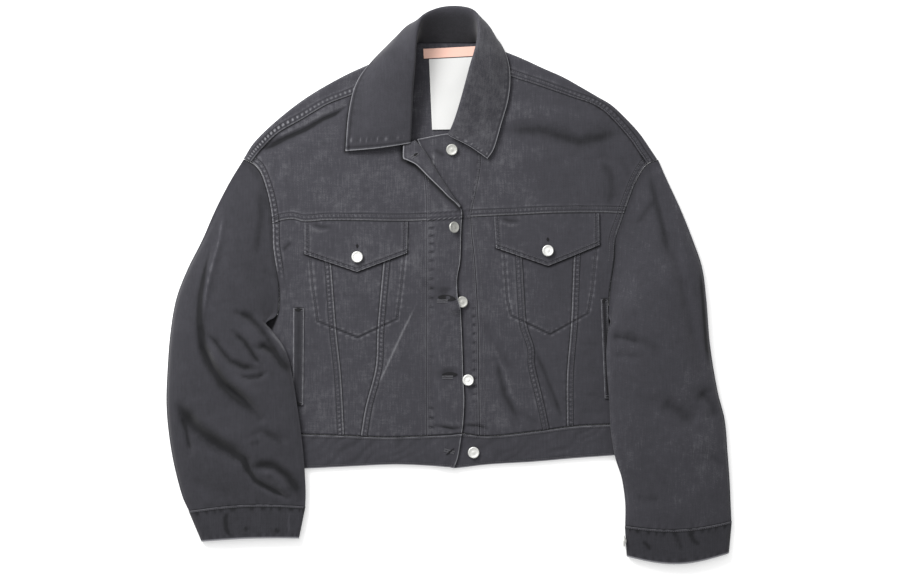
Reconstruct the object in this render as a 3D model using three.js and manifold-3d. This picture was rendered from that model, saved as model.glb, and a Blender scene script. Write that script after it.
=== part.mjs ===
// A cropped, boxy denim jacket laid flat on its back, with the fronts up and the sleeves beside the body.
// Millimetres. X runs to the wearer's left, Y up to the collar, Z up from the table.
import * as THREE from 'three';
import Module from 'manifold-3d';

const wasm = await Module();
wasm.setup();

// Cloth thicknesses
const DENIM = 1.6;
const DOUBLED = 2.4;
const CUFF_CLOTH = 2.6;
const LIGHT_CLOTH = 1.0;

// Clearances: half the gap at a seam, and the gap under a piece that lies on another
const SEAM = 0.2;
const CLEAR = 0.5;

// Heights above the table
const FRONT_REST = 3.4;
const FRONT_LOWEST = 2.0;
const LAP_RISE = DOUBLED + CLEAR;
const ARMHOLE_RISE = 3.5;
const SIDE_DROP = 1.4;

// Buttons
const BUTTON_RADIUS = 8.2;
const BUTTON_HEIGHT = 4.6;

const { lerp } = THREE.MathUtils;
const smooth = (from, to, at) => THREE.MathUtils.smoothstep((at - from) / (to - from), 0, 1);

// Outlines of the body. Seams that run across give y at x, seams that run down give x at y.
const YOKE_SEAM = [
  { x: -238, y: 88 }, { x: -214, y: 90.5 }, { x: -198, y: 91 }, { x: -133, y: 90.5 },
  { x: -54, y: 89.5 }, { x: 10, y: 93 }, { x: 28, y: 95 }, { x: 91, y: 98 },
  { x: 144, y: 100.5 }, { x: 204, y: 101 }, { x: 238, y: 100 },
];
const HEM_SEAM = [
  { x: -240, y: -200 }, { x: -201, y: -200.5 }, { x: -147, y: -202 }, { x: -82, y: -204.5 },
  { x: 0, y: -201 }, { x: 16, y: -199.5 }, { x: 53, y: -203 }, { x: 118, y: -196.5 },
  { x: 170, y: -189.5 }, { x: 219, y: -187 }, { x: 248, y: -185 },
];
const HEM = [
  { x: -240, y: -248 }, { x: -196, y: -247 }, { x: -133, y: -244 }, { x: -68, y: -241.5 },
  { x: 0, y: -245 }, { x: 8, y: -246.5 }, { x: 53, y: -241.5 }, { x: 118, y: -237.5 },
  { x: 170, y: -233 }, { x: 226, y: -229 }, { x: 248, y: -227 },
];
// Free edge of the wearer's right front, which laps over the left one
const LAP_EDGE = [
  { y: -247, x: 6.5 }, { y: -232, x: 12 }, { y: -205, x: 16.5 }, { y: -185, x: 19 },
  { y: -154, x: 20.5 }, { y: -122, x: 19 }, { y: -85, x: 18 }, { y: -48, x: 16 },
  { y: -28, x: 13 }, { y: -14, x: 9.5 }, { y: 12, x: 11 }, { y: 36, x: 15 },
  { y: 80, x: 16.5 }, { y: 100, x: 17.5 }, { y: 110, x: 14 },
];
// Hidden free edge of the wearer's left front
const UNDER_EDGE = [
  { y: -247, x: -3 }, { y: -175, x: -3 }, { y: -51, x: -5 }, { y: 30, x: -10 },
  { y: 95, x: -16 }, { y: 150, x: -24 }, { y: 180, x: -34 }, { y: 200, x: -43 },
];
// Lines where the bands are stitched to the fronts
const BAND_SEAM_RIGHT = [
  { y: -247, x: -30 }, { y: -120, x: -30.5 }, { y: 90, x: -30 }, { y: 130, x: -31 },
  { y: 160, x: -35 }, { y: 180, x: -42 }, { y: 197, x: -51 },
];
const BAND_SEAM_LEFT = [
  { y: -247, x: 41.5 }, { y: -175, x: 41 }, { y: -100, x: 40 }, { y: -51, x: 39.4 },
  { y: 30, x: 35 }, { y: 95, x: 29.5 }, { y: 135, x: 37 }, { y: 165, x: 42 },
  { y: 210, x: 44 }, { y: 250, x: 45 }, { y: 297, x: 50 },
];
// Slanted seams from the pockets to the waistband, from the side to the centre of each front
const SEAMS_RIGHT = {
  outer: [{ y: -200, x: -142.8 }, { y: -122, x: -147 }, { y: -58, x: -153.7 }, { y: 32, x: -160.5 },
    { y: 91, x: -165 }],
  inner: [{ y: -204, x: -119.7 }, { y: -164, x: -113 }, { y: -110, x: -99.3 }, { y: -58, x: -96.6 },
    { y: 35, x: -88.4 }, { y: 91, x: -83 }],
};
const SEAMS_LEFT = {
  outer: [{ y: -191, x: 160.5 }, { y: -122, x: 160.5 }, { y: -52, x: 166 }, { y: 43, x: 170 },
    { y: 102, x: 173 }],
  inner: [{ y: -195, x: 136 }, { y: -158, x: 128 }, { y: -107, x: 116 }, { y: -84, x: 115 },
    { y: -52, x: 105 }, { y: -18, x: 102 }, { y: 99, x: 96 }],
};
// Armholes from the underarm up to the shoulder, with the side seams below them
const SIDE_RIGHT = [
  { y: -250, x: -238 }, { y: -120, x: -242 }, { y: -66, x: -243 }, { y: -50, x: -237 },
  { y: -36, x: -232 }, { y: -8, x: -230.5 }, { y: 16, x: -232.5 }, { y: 54, x: -238 },
  { y: 86, x: -239 }, { y: 115, x: -243 }, { y: 142, x: -250.2 },
  { y: 158, x: -257 }, { y: 168, x: -267 }, { y: 173.5, x: -279 },
];
const SIDE_LEFT = [
  { y: -250, x: 246 }, { y: -120, x: 244 }, { y: -74, x: 240 }, { y: -62, x: 227 },
  { y: -50, x: 218 }, { y: -38, x: 216 }, { y: 0, x: 219 }, { y: 39, x: 224.4 },
  { y: 66, x: 226 }, { y: 98, x: 236.5 }, { y: 114, x: 242 }, { y: 142, x: 253 },
  { y: 160, x: 263 }, { y: 168, x: 271 }, { y: 172.5, x: 283 },
];
// The shoulders: the seam of the front yoke, and the fold where the back yoke turns under
const SHOULDER_RIGHT = [
  { seamX: -60, seamY: 289, foldX: -74, foldY: 319 }, { seamX: -100, seamY: 275, foldX: -107, foldY: 303 },
  { seamX: -129, seamY: 262, foldX: -140, foldY: 288 }, { seamX: -165, seamY: 248, foldX: -178, foldY: 267 },
  { seamX: -199, seamY: 228, foldX: -208, foldY: 247 }, { seamX: -232, seamY: 209, foldX: -241, foldY: 220 },
  { seamX: -255, seamY: 187, foldX: -265, foldY: 196 }, { seamX: -266, seamY: 172.5, foldX: -278, foldY: 175 },
];
const SHOULDER_LEFT = [
  { seamX: 50, seamY: 298, foldX: 58, foldY: 326 }, { seamX: 84, seamY: 286, foldX: 95, foldY: 312 },
  { seamX: 118, seamY: 275, foldX: 128, foldY: 297 }, { seamX: 144, seamY: 266, foldX: 155, foldY: 285 },
  { seamX: 170, seamY: 257, foldX: 180, foldY: 271 }, { seamX: 194, seamY: 249, foldX: 204, foldY: 257 },
  { seamX: 212, seamY: 238, foldX: 222, foldY: 246 }, { seamX: 231, seamY: 219, foldX: 243, foldY: 226 },
  { seamX: 247, seamY: 200, foldX: 260, foldY: 207 }, { seamX: 258, seamY: 184, foldX: 273, foldY: 188 },
  { seamX: 264, seamY: 176, foldX: 281, foldY: 175 },
];
// Neck edges of the front yokes from the bands up to the shoulder
const NECK_RIGHT = [[-62, 206], [-61.5, 228], [-60, 255], [-60, 289]];
const NECK_LEFT = [[50, 298]];
const NECK_OF_LEFT_BAND = [{ x: -43, y: 200 }, { x: -3, y: 207.5 }, { x: 15, y: 206 }, { x: 32, y: 230 },
  { x: 45, y: 250 }];
const BACK_NECK = [{ x: -60, y: 324 }, { x: -42, y: 330 }, { x: 0, y: 330.5 }, { x: 40, y: 330 }];
const BACK_YOKE_SEAM_Y = 100;

// The turned-back corner of the right front: its roll line and its free edge
const TURNED_CORNER = [
  { rollX: 9, rollY: 117.5, edgeX: 4.5, edgeY: 115 }, { rollX: 3, rollY: 127, edgeX: -3.5, edgeY: 124 },
  { rollX: -3, rollY: 135.5, edgeX: -12, edgeY: 133 },
  { rollX: -13.5, rollY: 151.5, edgeX: -28, edgeY: 148.5 },
  { rollX: -23, rollY: 168, edgeX: -44, edgeY: 165 }, { rollX: -33, rollY: 184, edgeX: -57.5, edgeY: 172.5 },
  { rollX: -41, rollY: 193, edgeX: -62, edgeY: 181 }, { rollX: -46, rollY: 198, edgeX: -62, edgeY: 189.5 },
];

// The collar from its right point round the neck to its left point: where it is sewn to the neck,
// where it rolls, the middle of its leaf, and the free edge of the leaf
const COLLAR = [
  { neck: [-58.5, 202, 6.8], roll: [-54, 200.5, 13], leaf: [-98, 190.5, 12.5], edge: [-141.4, 185.6, 9] },
  { neck: [-58, 228, 6.7], roll: [-53, 224, 19], leaf: [-94, 226, 18], edge: [-136.8, 228, 8.5] },
  { neck: [-57, 255, 6.6], roll: [-51.5, 259, 24], leaf: [-91, 258, 21], edge: [-130.5, 262, 8.5] },
  { neck: [-57, 283, 6.8], roll: [-49, 281, 29], leaf: [-86, 286, 24], edge: [-121, 284, 8.5] },
  { neck: [-57, 302, 7.5], roll: [-46.5, 305, 33], leaf: [-79, 314, 25], edge: [-106, 303, 8.5] },
  { neck: [-52, 324, 7], roll: [-45, 326, 36], leaf: [-68, 333, 22], edge: [-85, 325, 6] },
  { neck: [-42, 332.2, 3.3], roll: [-42, 346, 37], leaf: [-55, 352, 20], edge: [-63, 345, 3] },
  { neck: [-32, 332, 2], roll: [-35, 365, 34], leaf: [-37, 364, 16], edge: [-38, 350, 2.2] },
  { neck: [-15, 332.1, 1.8], roll: [-14, 376, 31], leaf: [-14, 371, 13], edge: [-15, 350, 2.2] },
  { neck: [8, 332.1, 1.8], roll: [10, 379, 30], leaf: [10, 373, 12], edge: [8, 350, 2.2] },
  { neck: [28, 332, 2], roll: [31, 374, 32], leaf: [33, 369, 15], edge: [30, 350, 2.2] },
  { neck: [38, 332.2, 3.3], roll: [39, 356, 36], leaf: [49, 357, 20], edge: [53, 346, 3] },
  { neck: [44, 325, 6], roll: [39, 336, 38], leaf: [57, 341, 24], edge: [66, 334, 5] },
  { neck: [47, 312, 8], roll: [35.5, 318, 40], leaf: [58, 322, 27], edge: [75.5, 318, 7] },
  { neck: [46.5, 292, 7.5], roll: [30, 300, 40], leaf: [58, 301, 28], edge: [81, 299, 8.5] },
  { neck: [43, 272, 6.5], roll: [24, 278, 37], leaf: [54, 276, 26], edge: [82.5, 278, 8.5] },
  { neck: [37, 252, 6], roll: [17.5, 254, 32], leaf: [49, 249, 22], edge: [79.5, 252, 8.5] },
  { neck: [28, 233, 6], roll: [10, 229, 25], leaf: [42, 220, 18], edge: [71, 222, 8.5] },
  { neck: [18, 217, 6], roll: [4, 213, 19], leaf: [36, 201, 15], edge: [61, 188, 8.5] },
  { neck: [11, 209.5, 6], roll: [0, 205.5, 14], leaf: [28, 190, 13], edge: [52, 173.5, 9] },
];

// Sleeves from the armhole to the cuff: the outer edge, the inner edge and the height of the crown
const SLEEVE_RIGHT = [
  { outerX: -279, outerY: 173, innerX: -232, innerY: -36, crown: 7 },
  { outerX: -297.8, outerY: 142, innerX: -237.5, innerY: -42, crown: 13 },
  { outerX: -317, outerY: 104, innerX: -243.5, innerY: -45, crown: 18 },
  { outerX: -334.6, outerY: 63, innerX: -248, innerY: -48.5, crown: 21 },
  { outerX: -355, outerY: 22, innerX: -247.5, innerY: -52.5, crown: 23 },
  { outerX: -370, outerY: -18, innerX: -239.5, innerY: -61, crown: 24 },
  { outerX: -378, outerY: -66, innerX: -223.5, innerY: -84, crown: 25 },
  { outerX: -382, outerY: -120, innerX: -215, innerY: -110, crown: 25 },
  { outerX: -383, outerY: -161, innerX: -206, innerY: -163, crown: 23 },
  { outerX: -379.5, outerY: -202, innerX: -200, innerY: -207, crown: 22 },
  { outerX: -372.5, outerY: -243, innerX: -196.5, innerY: -244, crown: 20 },
  { outerX: -362, outerY: -283, innerX: -195, innerY: -277, crown: 15 },
  { outerX: -352.5, outerY: -304.5, innerX: -195.6, innerY: -298, crown: 11 },
];
const SLEEVE_LEFT = [
  { outerX: 283, outerY: 172.5, innerX: 216, innerY: -38, crown: 7 },
  { outerX: 295, outerY: 145, innerX: 219, innerY: -47, crown: 13 },
  { outerX: 314, outerY: 104, innerX: 217.5, innerY: -54, crown: 18 },
  { outerX: 330.5, outerY: 63, innerX: 216, innerY: -63, crown: 20 },
  { outerX: 343, outerY: 26, innerX: 215, innerY: -74, crown: 22 },
  { outerX: 349, outerY: -18, innerX: 214, innerY: -90, crown: 23 },
  { outerX: 354, outerY: -80, innerX: 215, innerY: -118, crown: 23 },
  { outerX: 364, outerY: -141, innerX: 218, innerY: -155, crown: 22 },
  { outerX: 374, outerY: -182, innerX: 220, innerY: -195, crown: 21 },
  { outerX: 378, outerY: -229, innerX: 226, innerY: -232, crown: 20 },
  { outerX: 380.5, outerY: -263, innerX: 235, innerY: -260, crown: 18 },
  { outerX: 382, outerY: -297, innerX: 240, innerY: -293, crown: 15 },
  { outerX: 383, outerY: -318.5, innerX: 240, innerY: -325, crown: 11 },
];
const SLEEVE_END_BOW = { right: 5.5, left: -7.5 };
const CUFFS = {
  right: { outerX: -335, outerY: -346, innerX: -204.5, innerY: -341.5, bow: 2 },
  left: { outerX: 379, outerY: -362, innerX: 242.5, innerY: -366.5, bow: -12 },
};
const CUFF_CROWN = 10.4;

// How far the inner side of each sleeve is held up by the body that it lies on. The right cuff is
// held up by its own button below the hem.
const SLEEVE_LIFT = 7.9;
const CUFF_BUTTON_LIFT = BUTTON_HEIGHT + 0.3;

// Folds: a soft line through three places, its half width, and its height (a trough is negative)
const BODY_FOLDS = [
  { from: [-136, 243], via: [-171, 228], to: [-250, 192], width: 12, height: -1.3 },
  { from: [-43, -22], via: [-87, -114], to: [-105, -148], width: 12, height: 0.9 },
  { from: [-220, 186], via: [-225, 150], to: [-226, 111], width: 14, height: 0.8 },
  { from: [69, 213], via: [131, 209], to: [192, 197], width: 14, height: -1.3 },
  { from: [90, 238], via: [150, 236], to: [205, 228], width: 14, height: 1.2 },
  { from: [65, -100], via: [76, -148], to: [97, -180], width: 12, height: -1.1 },
  { from: [56, -73], via: [88, -130], to: [112, -165], width: 12, height: 1.1 },
  { from: [128, -70], via: [148, -128], to: [157, -150], width: 12, height: 0.8 },
];
const SLEEVE_FOLDS_RIGHT = [
  { from: [-306, 107], via: [-324, 17], to: [-334, -54], width: 14, height: 2.5 },
  { from: [-333, -70], via: [-316, -116], to: [-262, -176], width: 14, height: -7 },
  { from: [-318, -66], via: [-296, -106], to: [-246, -160], width: 16, height: 4 },
  { from: [-272, -34], via: [-250, -58], to: [-222, -106], width: 14, height: -5 },
  { from: [-366, -160], via: [-333, -199], to: [-276, -232], width: 16, height: -8 },
  { from: [-276, -232], via: [-256, -240], to: [-212, -284], width: 14, height: -5 },
];
const SLEEVE_FOLDS_LEFT = [
  { from: [286, 160], via: [294, 106], to: [305, 56], width: 14, height: 2 },
  { from: [290, 120], via: [306, 20], to: [322, -52], width: 14, height: -4 },
  { from: [322, -52], via: [334, -90], to: [346, -116], width: 14, height: -3 },
  { from: [334, -138], via: [356, -158], to: [364, -180], width: 14, height: -4 },
  { from: [282, -164], via: [310, -178], to: [346, -182], width: 18, height: -4 },
  { from: [252, -284], via: [270, -288], to: [286, -288], width: 16, height: -3 },
];

const CHEST_POCKETS = {
  right: {
    flap: { left: [-195.8, 44.2], point: [-125, 20], right: [-57, 45.6], topLeft: -195.8, topRight: -56 },
    bag: { left: [-178.2, -47], point: [-124, -69], right: [-70.7, -44], topLeft: -190.5, topRight: -58.5 },
    top: 88.5,
  },
  left: {
    flap: { left: [64, 52.4], point: [134.6, 28], right: [204, 56.4], topLeft: 61.2, topRight: 203.5 },
    bag: { left: [84.3, -39], point: [137.4, -64.6], right: [189, -36], topLeft: 73.4, topRight: 201 },
    top: 96.5,
  },
};
const BAG_TOP = 62;
const WELTS = {
  right: { top: [-211, -28], bottom: [-212, -162], width: 14 },
  left: { top: [206, -16], bottom: [211.5, -153], width: 9 },
};
const LABELS = {
  neck: [[-34.2, 309.6], [34, 313.2], [36, 326.6], [-35, 323]],
  care: [[-23, 213], [36, 214], [33.6, 312], [-27.2, 309]],
};

// Table helpers

function valueAt(rows, by, want, at) {
  const last = rows.length - 1;
  if (at <= rows[0][by]) return rows[0][want];
  if (at >= rows[last][by]) return rows[last][want];
  let k = 0;
  while (rows[k + 1][by] < at) k += 1;
  const slope = (i) => {
    const before = rows[Math.max(i - 1, 0)];
    const after = rows[Math.min(i + 1, last)];
    return (after[want] - before[want]) / (after[by] - before[by]);
  };
  const span = rows[k + 1][by] - rows[k][by];
  const t = (at - rows[k][by]) / span;
  const rise = rows[k + 1][want] - rows[k][want];
  const [a, b] = [slope(k) * span, slope(k + 1) * span];
  return rows[k][want] + t * (a + t * (3 * rise - 2 * a - b + t * (a + b - 2 * rise)));
}

const yAt = (rows, x) => valueAt(rows, 'x', 'y', x);
const xAt = (rows, y) => valueAt(rows, 'y', 'x', y);

function curveThrough(places) {
  const knots = places.map(([x, y, z = 0]) => new THREE.Vector3(x, y, z));
  const curve = new THREE.CatmullRomCurve3(knots, false, 'centripetal');
  return (t) => curve.getPointAt(t);
}

function polyline(places) {
  const route = new THREE.CurvePath();
  const knots = places.map(([x, y]) => new THREE.Vector3(x, y, 0));
  for (let k = 0; k + 1 < knots.length; k += 1) route.add(new THREE.LineCurve3(knots[k], knots[k + 1]));
  return (t) => route.getPointAt(Math.min(t, 1));
}

// Even places along a seam that runs across or down
const acrossSeam = (rows, fromX, toX) => (t) => {
  const x = lerp(fromX, toX, t);
  return new THREE.Vector3(x, yAt(rows, x), 0);
};
const downSeam = (rows, fromY, toY) => (t) => {
  const y = lerp(fromY, toY, t);
  return new THREE.Vector3(xAt(rows, y), y, 0);
};

// Where a seam that runs down meets one that runs across
function meeting(down, across) {
  let y = across[0].y;
  for (let k = 0; k < 12; k += 1) y = yAt(across, xAt(down, y));
  return y;
}

// Height of the folds at a place
function foldRelief(folds, x, y) {
  const reach = (fold) => {
    const near = ([ax, ay], [bx, by]) => {
      const [dx, dy] = [bx - ax, by - ay];
      const t = THREE.MathUtils.clamp(((x - ax) * dx + (y - ay) * dy) / (dx * dx + dy * dy), 0, 1);
      return Math.hypot(x - ax - t * dx, y - ay - t * dy);
    };
    return Math.min(near(fold.from, fold.via), near(fold.via, fold.to));
  };
  return folds.reduce((sum, fold) => sum + fold.height * Math.exp(-((reach(fold) / fold.width) ** 2)), 0);
}

// Layers of the body

// 1 inside the outline of a pocket bag, falling to 0 just outside it
function overPocket(x, y) {
  const covers = (bag) => {
    const left = smooth(bag.topLeft - 12, bag.topLeft, x);
    const right = 1 - smooth(bag.topRight, bag.topRight + 12, x);
    return left * right * smooth(bag.point[1] - 12, bag.point[1], y) * (1 - smooth(BAG_TOP, BAG_TOP + 12, y));
  };
  return Math.max(covers(CHEST_POCKETS.right.bag), covers(CHEST_POCKETS.left.bag));
}

// Underside of the fronts, without the lap
function frontUnder(x, y) {
  const bump = (cx, cy, rx, ry) => Math.exp(-(((x - cx) / rx) ** 2) - (((y - cy) / ry) ** 2));
  const armholes = ARMHOLE_RISE * (bump(-240, 60, 40, 70) + bump(230, 70, 40, 70));
  const sideGap = Math.min(x - xAt(SIDE_RIGHT, y), xAt(SIDE_LEFT, y) - x);
  const drop = SIDE_DROP * (1 - smooth(0, 16, sideGap)) * (1 - smooth(-40, 10, y));
  let folds = foldRelief(BODY_FOLDS, x, y);
  if (folds < 0) folds *= 1 - overPocket(x, y);
  return Math.max(FRONT_REST + armholes - drop + folds, FRONT_LOWEST);
}

const thirdButton = [17.7, -21];

// How far the right front is lifted by the left one under it
function lapRise(x, y) {
  const edge = xAt(UNDER_EDGE, y);
  const overBand = LAP_RISE * smooth(edge - 22, edge - 3, x);
  const offButton = Math.hypot(x - thirdButton[0] + 8, (y - thirdButton[1]) * 0.8);
  return overBand + (BUTTON_HEIGHT + CLEAR) * (1 - smooth(6, 17, offButton));
}

const lappedUnder = (x, y) => frontUnder(x, y) + lapRise(x, y);

// Solids

function solid(points, index) {
  const positions = new Float32Array(points.flatMap((p) => [p.x, p.y, p.z]));
  let volume = 0;
  for (let k = 0; k < index.length; k += 3) {
    const [a, b, c] = [points[index[k]], points[index[k + 1]], points[index[k + 2]]];
    volume += a.dot(new THREE.Vector3().crossVectors(b, c));
  }
  const geometry = new THREE.BufferGeometry();
  geometry.setAttribute('position', new THREE.BufferAttribute(positions, 3));
  geometry.setIndex(volume < 0 ? index.reverse() : index);
  geometry.computeVertexNormals();
  return geometry;
}

// A closed wall between two grids of points with the same rows and columns
function wall(outer, inner) {
  const [rows, cols] = [outer.length, outer[0].length];
  const index = [];
  const at = (side, i, j) => (side * rows + i) * cols + j;
  const quad = (a, b, c, d) => index.push(a, b, c, a, c, d);
  for (let i = 0; i + 1 < rows; i += 1) {
    for (let j = 0; j + 1 < cols; j += 1) {
      quad(at(0, i, j), at(0, i + 1, j), at(0, i + 1, j + 1), at(0, i, j + 1));
      quad(at(1, i, j), at(1, i, j + 1), at(1, i + 1, j + 1), at(1, i + 1, j));
    }
    quad(at(0, i + 1, 0), at(0, i, 0), at(1, i, 0), at(1, i + 1, 0));
    quad(at(0, i, cols - 1), at(0, i + 1, cols - 1), at(1, i + 1, cols - 1), at(1, i, cols - 1));
  }
  for (let j = 0; j + 1 < cols; j += 1) {
    quad(at(0, 0, j), at(0, 0, j + 1), at(1, 0, j + 1), at(1, 0, j));
    quad(at(0, rows - 1, j + 1), at(0, rows - 1, j), at(1, rows - 1, j), at(1, rows - 1, j + 1));
  }
  return solid([...outer.flat(), ...inner.flat()], index);
}

// A wall of even thickness round a curved grid
function thicken(grid, thickness) {
  const step = (row, j) => row[Math.min(j + 1, row.length - 1)].clone().sub(row[Math.max(j - 1, 0)]);
  const side = (sign) => grid.map((row, i) => row.map((point, j) => {
    const column = grid.map((other) => other[j]);
    const normal = new THREE.Vector3().crossVectors(step(column, i), step(row, j)).normalize();
    return point.clone().addScaledVector(normal, sign * thickness * 0.5);
  }));
  return wall(side(1), side(-1));
}

const gridOf = (along, across, place) => Array.from({ length: along + 1 }, (_, i) => (
  Array.from({ length: across + 1 }, (__, j) => place(j / across, i / along))));

// Layout of a piece between four edges, drawn in by half a seam gap
function between({ bottom, top, left, right }) {
  const plain = (s, t) => {
    const [low, high, start, end] = [bottom(s), top(s), left(t), right(t)];
    const corner = (edge, u, weight) => edge(u).multiplyScalar(-weight);
    return new THREE.Vector3()
      .addScaledVector(low, 1 - t).addScaledVector(high, t)
      .addScaledVector(start, 1 - s).addScaledVector(end, s)
      .add(corner(bottom, 0, (1 - s) * (1 - t))).add(corner(bottom, 1, s * (1 - t)))
      .add(corner(top, 0, (1 - s) * t)).add(corner(top, 1, s * t));
  };
  return (s, t) => {
    const drawnS = s + SEAM * (1 - 2 * s) / left(t).distanceTo(right(t));
    const drawnT = t + SEAM * (1 - 2 * t) / bottom(s).distanceTo(top(s));
    return plain(drawnS, drawnT);
  };
}

// A piece that lies over another: its underside follows a height
function layOn(layout, across, along, under, thickness) {
  const level = (extra) => gridOf(along, across, (s, t) => {
    const point = layout(s, t);
    return point.setZ(under(point.x, point.y) + extra);
  });
  return wall(level(thickness), level(0));
}

function flatPiece(places, thickness) {
  const shape = new THREE.Shape(places.map(([x, y]) => new THREE.Vector2(x, y)));
  return new THREE.ExtrudeGeometry(shape, { depth: thickness, bevelEnabled: false });
}

function toManifold(geometry) {
  const position = geometry.getAttribute('position');
  const found = new Map();
  const vertices = [];
  const merged = [];
  const count = geometry.index ? geometry.index.count : position.count;
  for (let k = 0; k < count; k += 1) {
    const i = geometry.index ? geometry.index.getX(k) : k;
    const place = [position.getX(i), position.getY(i), position.getZ(i)];
    const key = place.map((value) => Math.round(value * 1e4)).join();
    if (!found.has(key)) {
      found.set(key, vertices.length / 3);
      vertices.push(...place);
    }
    merged.push(found.get(key));
  }
  const mesh = new wasm.Mesh({
    numProp: 3, vertProperties: new Float32Array(vertices), triVerts: new Uint32Array(merged),
  });
  return new wasm.Manifold(mesh);
}

function joined(...geometries) {
  const whole = geometries.map(toManifold).reduce((sum, next) => sum.add(next));
  const mesh = whole.getMesh();
  const geometry = new THREE.BufferGeometry();
  geometry.setAttribute('position', new THREE.BufferAttribute(new Float32Array(mesh.vertProperties), 3));
  geometry.setIndex(Array.from(mesh.triVerts));
  geometry.computeVertexNormals();
  return geometry;
}

// Pieces of the body

function sideOutline(rows, fromY, toY, inset) {
  const steps = Math.ceil(Math.abs(toY - fromY) / 9);
  return Array.from({ length: steps + 1 }, (_, k) => lerp(fromY, toY, k / steps))
    .map((y) => [xAt(rows, y) + inset, y]);
}

function backPanel() {
  const top = BACK_YOKE_SEAM_Y - SEAM;
  const hem = HEM_SEAM.slice(1, -1).map(({ x, y }) => [x, y + SEAM]);
  const right = sideOutline(SIDE_RIGHT, top, meeting(SIDE_RIGHT, HEM_SEAM) + SEAM, SEAM);
  const left = sideOutline(SIDE_LEFT, meeting(SIDE_LEFT, HEM_SEAM) + SEAM, top, -SEAM);
  return flatPiece([...right, ...hem, ...left], DENIM);
}

// The back yoke lies under the shoulders and turns over them to the shoulder seams
const YOKE_TURN = [
  { inward: 6, outerZ: 0.3, innerZ: 1.3 }, { inward: 2.6, outerZ: 0.25, innerZ: 1.35, innerInward: 3 },
  { inward: 0.7, outerZ: 0.9, innerZ: 1.9, innerInward: 2 },
  { inward: 0, outerZ: 2.6, innerZ: 2.5, innerInward: 1.7 },
  { inward: 1.2, outerZ: 4.3, innerZ: 3.1, innerInward: 2.2 },
  { inward: 3.6, outerZ: 5, innerZ: 3.4 },
];

function shoulderTurn(rows) {
  const steps = rows.map((row, step) => ({ ...row, step }));
  const stations = rows.length - 1;
  const section = (side) => (t) => {
    const at = (want) => valueAt(steps, 'step', want, t * (rows.length - 1));
    const fold = new THREE.Vector3(at('foldX'), at('foldY'), 0);
    const seam = new THREE.Vector3(at('seamX'), at('seamY'), 0);
    const inward = seam.clone().sub(fold);
    const width = inward.length();
    inward.normalize();
    const turned = YOKE_TURN.map((turn) => {
      const far = side === 'outer' ? turn.inward : turn.innerInward ?? turn.inward;
      return fold.clone().addScaledVector(inward, far).setZ(turn[`${side}Z`]);
    });
    const end = fold.clone().addScaledVector(inward, width - SEAM);
    const rise = side === 'outer' ? DENIM : 0;
    return [...turned, end.setZ(frontUnder(end.x, end.y) + rise)];
  };
  const side = (name) => Array.from({ length: stations + 1 }, (_, k) => section(name)(k / stations));
  return wall(side('outer'), side('inner'));
}

function backYoke() {
  const bottom = BACK_YOKE_SEAM_Y + SEAM;
  const drawIn = (row) => {
    const inward = new THREE.Vector2(row.seamX - row.foldX, row.seamY - row.foldY).normalize();
    return [row.foldX + inward.x * 1.6, row.foldY + inward.y * 1.6];
  };
  const places = [
    ...sideOutline(SIDE_RIGHT, bottom, 169, 0.5),
    ...SHOULDER_RIGHT.map(drawIn).reverse(),
    ...BACK_NECK.map(({ x, y }) => [x, y]),
    ...SHOULDER_LEFT.map(drawIn),
    ...sideOutline(SIDE_LEFT, 168, bottom, -0.5),
  ];
  return joined(flatPiece(places, DENIM), shoulderTurn(SHOULDER_RIGHT), shoulderTurn(SHOULDER_LEFT));
}

// The inner edge of a front yoke: up the band's seam and round the neck to the shoulder
function yokeInner(seam, from, to, neck) {
  const steps = 8;
  const up = Array.from({ length: steps + 1 }, (_, k) => lerp(from, to, k / steps));
  return polyline([...up.map((y) => [xAt(seam, y), y]), ...neck]);
}

function frontYokeRight() {
  const [armLow, armTop] = [meeting(SIDE_RIGHT, YOKE_SEAM), 169];
  const bandLow = meeting(BAND_SEAM_RIGHT, YOKE_SEAM);
  const shoulder = SHOULDER_RIGHT.slice(0, -1).reverse().map(({ seamX, seamY }) => [seamX, seamY]);
  const layout = between({
    bottom: acrossSeam(YOKE_SEAM, xAt(SIDE_RIGHT, armLow), xAt(BAND_SEAM_RIGHT, bandLow)),
    top: polyline([[xAt(SIDE_RIGHT, armTop), armTop], ...shoulder]),
    left: downSeam(SIDE_RIGHT, armLow, armTop),
    right: yokeInner(BAND_SEAM_RIGHT, bandLow, 197, NECK_RIGHT),
  });
  return layOn(layout, 12, 10, lappedUnder, DENIM);
}

function frontYokeLeft() {
  const [armLow, armTop] = [meeting(SIDE_LEFT, YOKE_SEAM), 167];
  const bandLow = meeting(BAND_SEAM_LEFT, YOKE_SEAM);
  const shoulder = SHOULDER_LEFT.slice(0, -1).map(({ seamX, seamY }) => [seamX, seamY]);
  const armEdge = xAt(SIDE_LEFT, armTop);
  const layout = between({
    bottom: acrossSeam(YOKE_SEAM, xAt(BAND_SEAM_LEFT, bandLow), xAt(SIDE_LEFT, armLow)),
    top: polyline([...shoulder, [armEdge - 5, armTop + 5], [armEdge, armTop]]),
    left: yokeInner(BAND_SEAM_LEFT, bandLow, 270, NECK_LEFT),
    right: downSeam(SIDE_LEFT, armLow, armTop),
  });
  return layOn(layout, 12, 10, frontUnder, DENIM);
}

// A panel below the yoke between two seams that run down
function frontPanel(left, right, across, under) {
  const [leftLow, leftHigh] = [meeting(left, HEM_SEAM), meeting(left, YOKE_SEAM)];
  const [rightLow, rightHigh] = [meeting(right, HEM_SEAM), meeting(right, YOKE_SEAM)];
  const layout = between({
    bottom: acrossSeam(HEM_SEAM, xAt(left, leftLow), xAt(right, rightLow)),
    top: acrossSeam(YOKE_SEAM, xAt(left, leftHigh), xAt(right, rightHigh)),
    left: downSeam(left, leftLow, leftHigh),
    right: downSeam(right, rightLow, rightHigh),
  });
  return layOn(layout, across, 16, under, DENIM);
}

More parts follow.
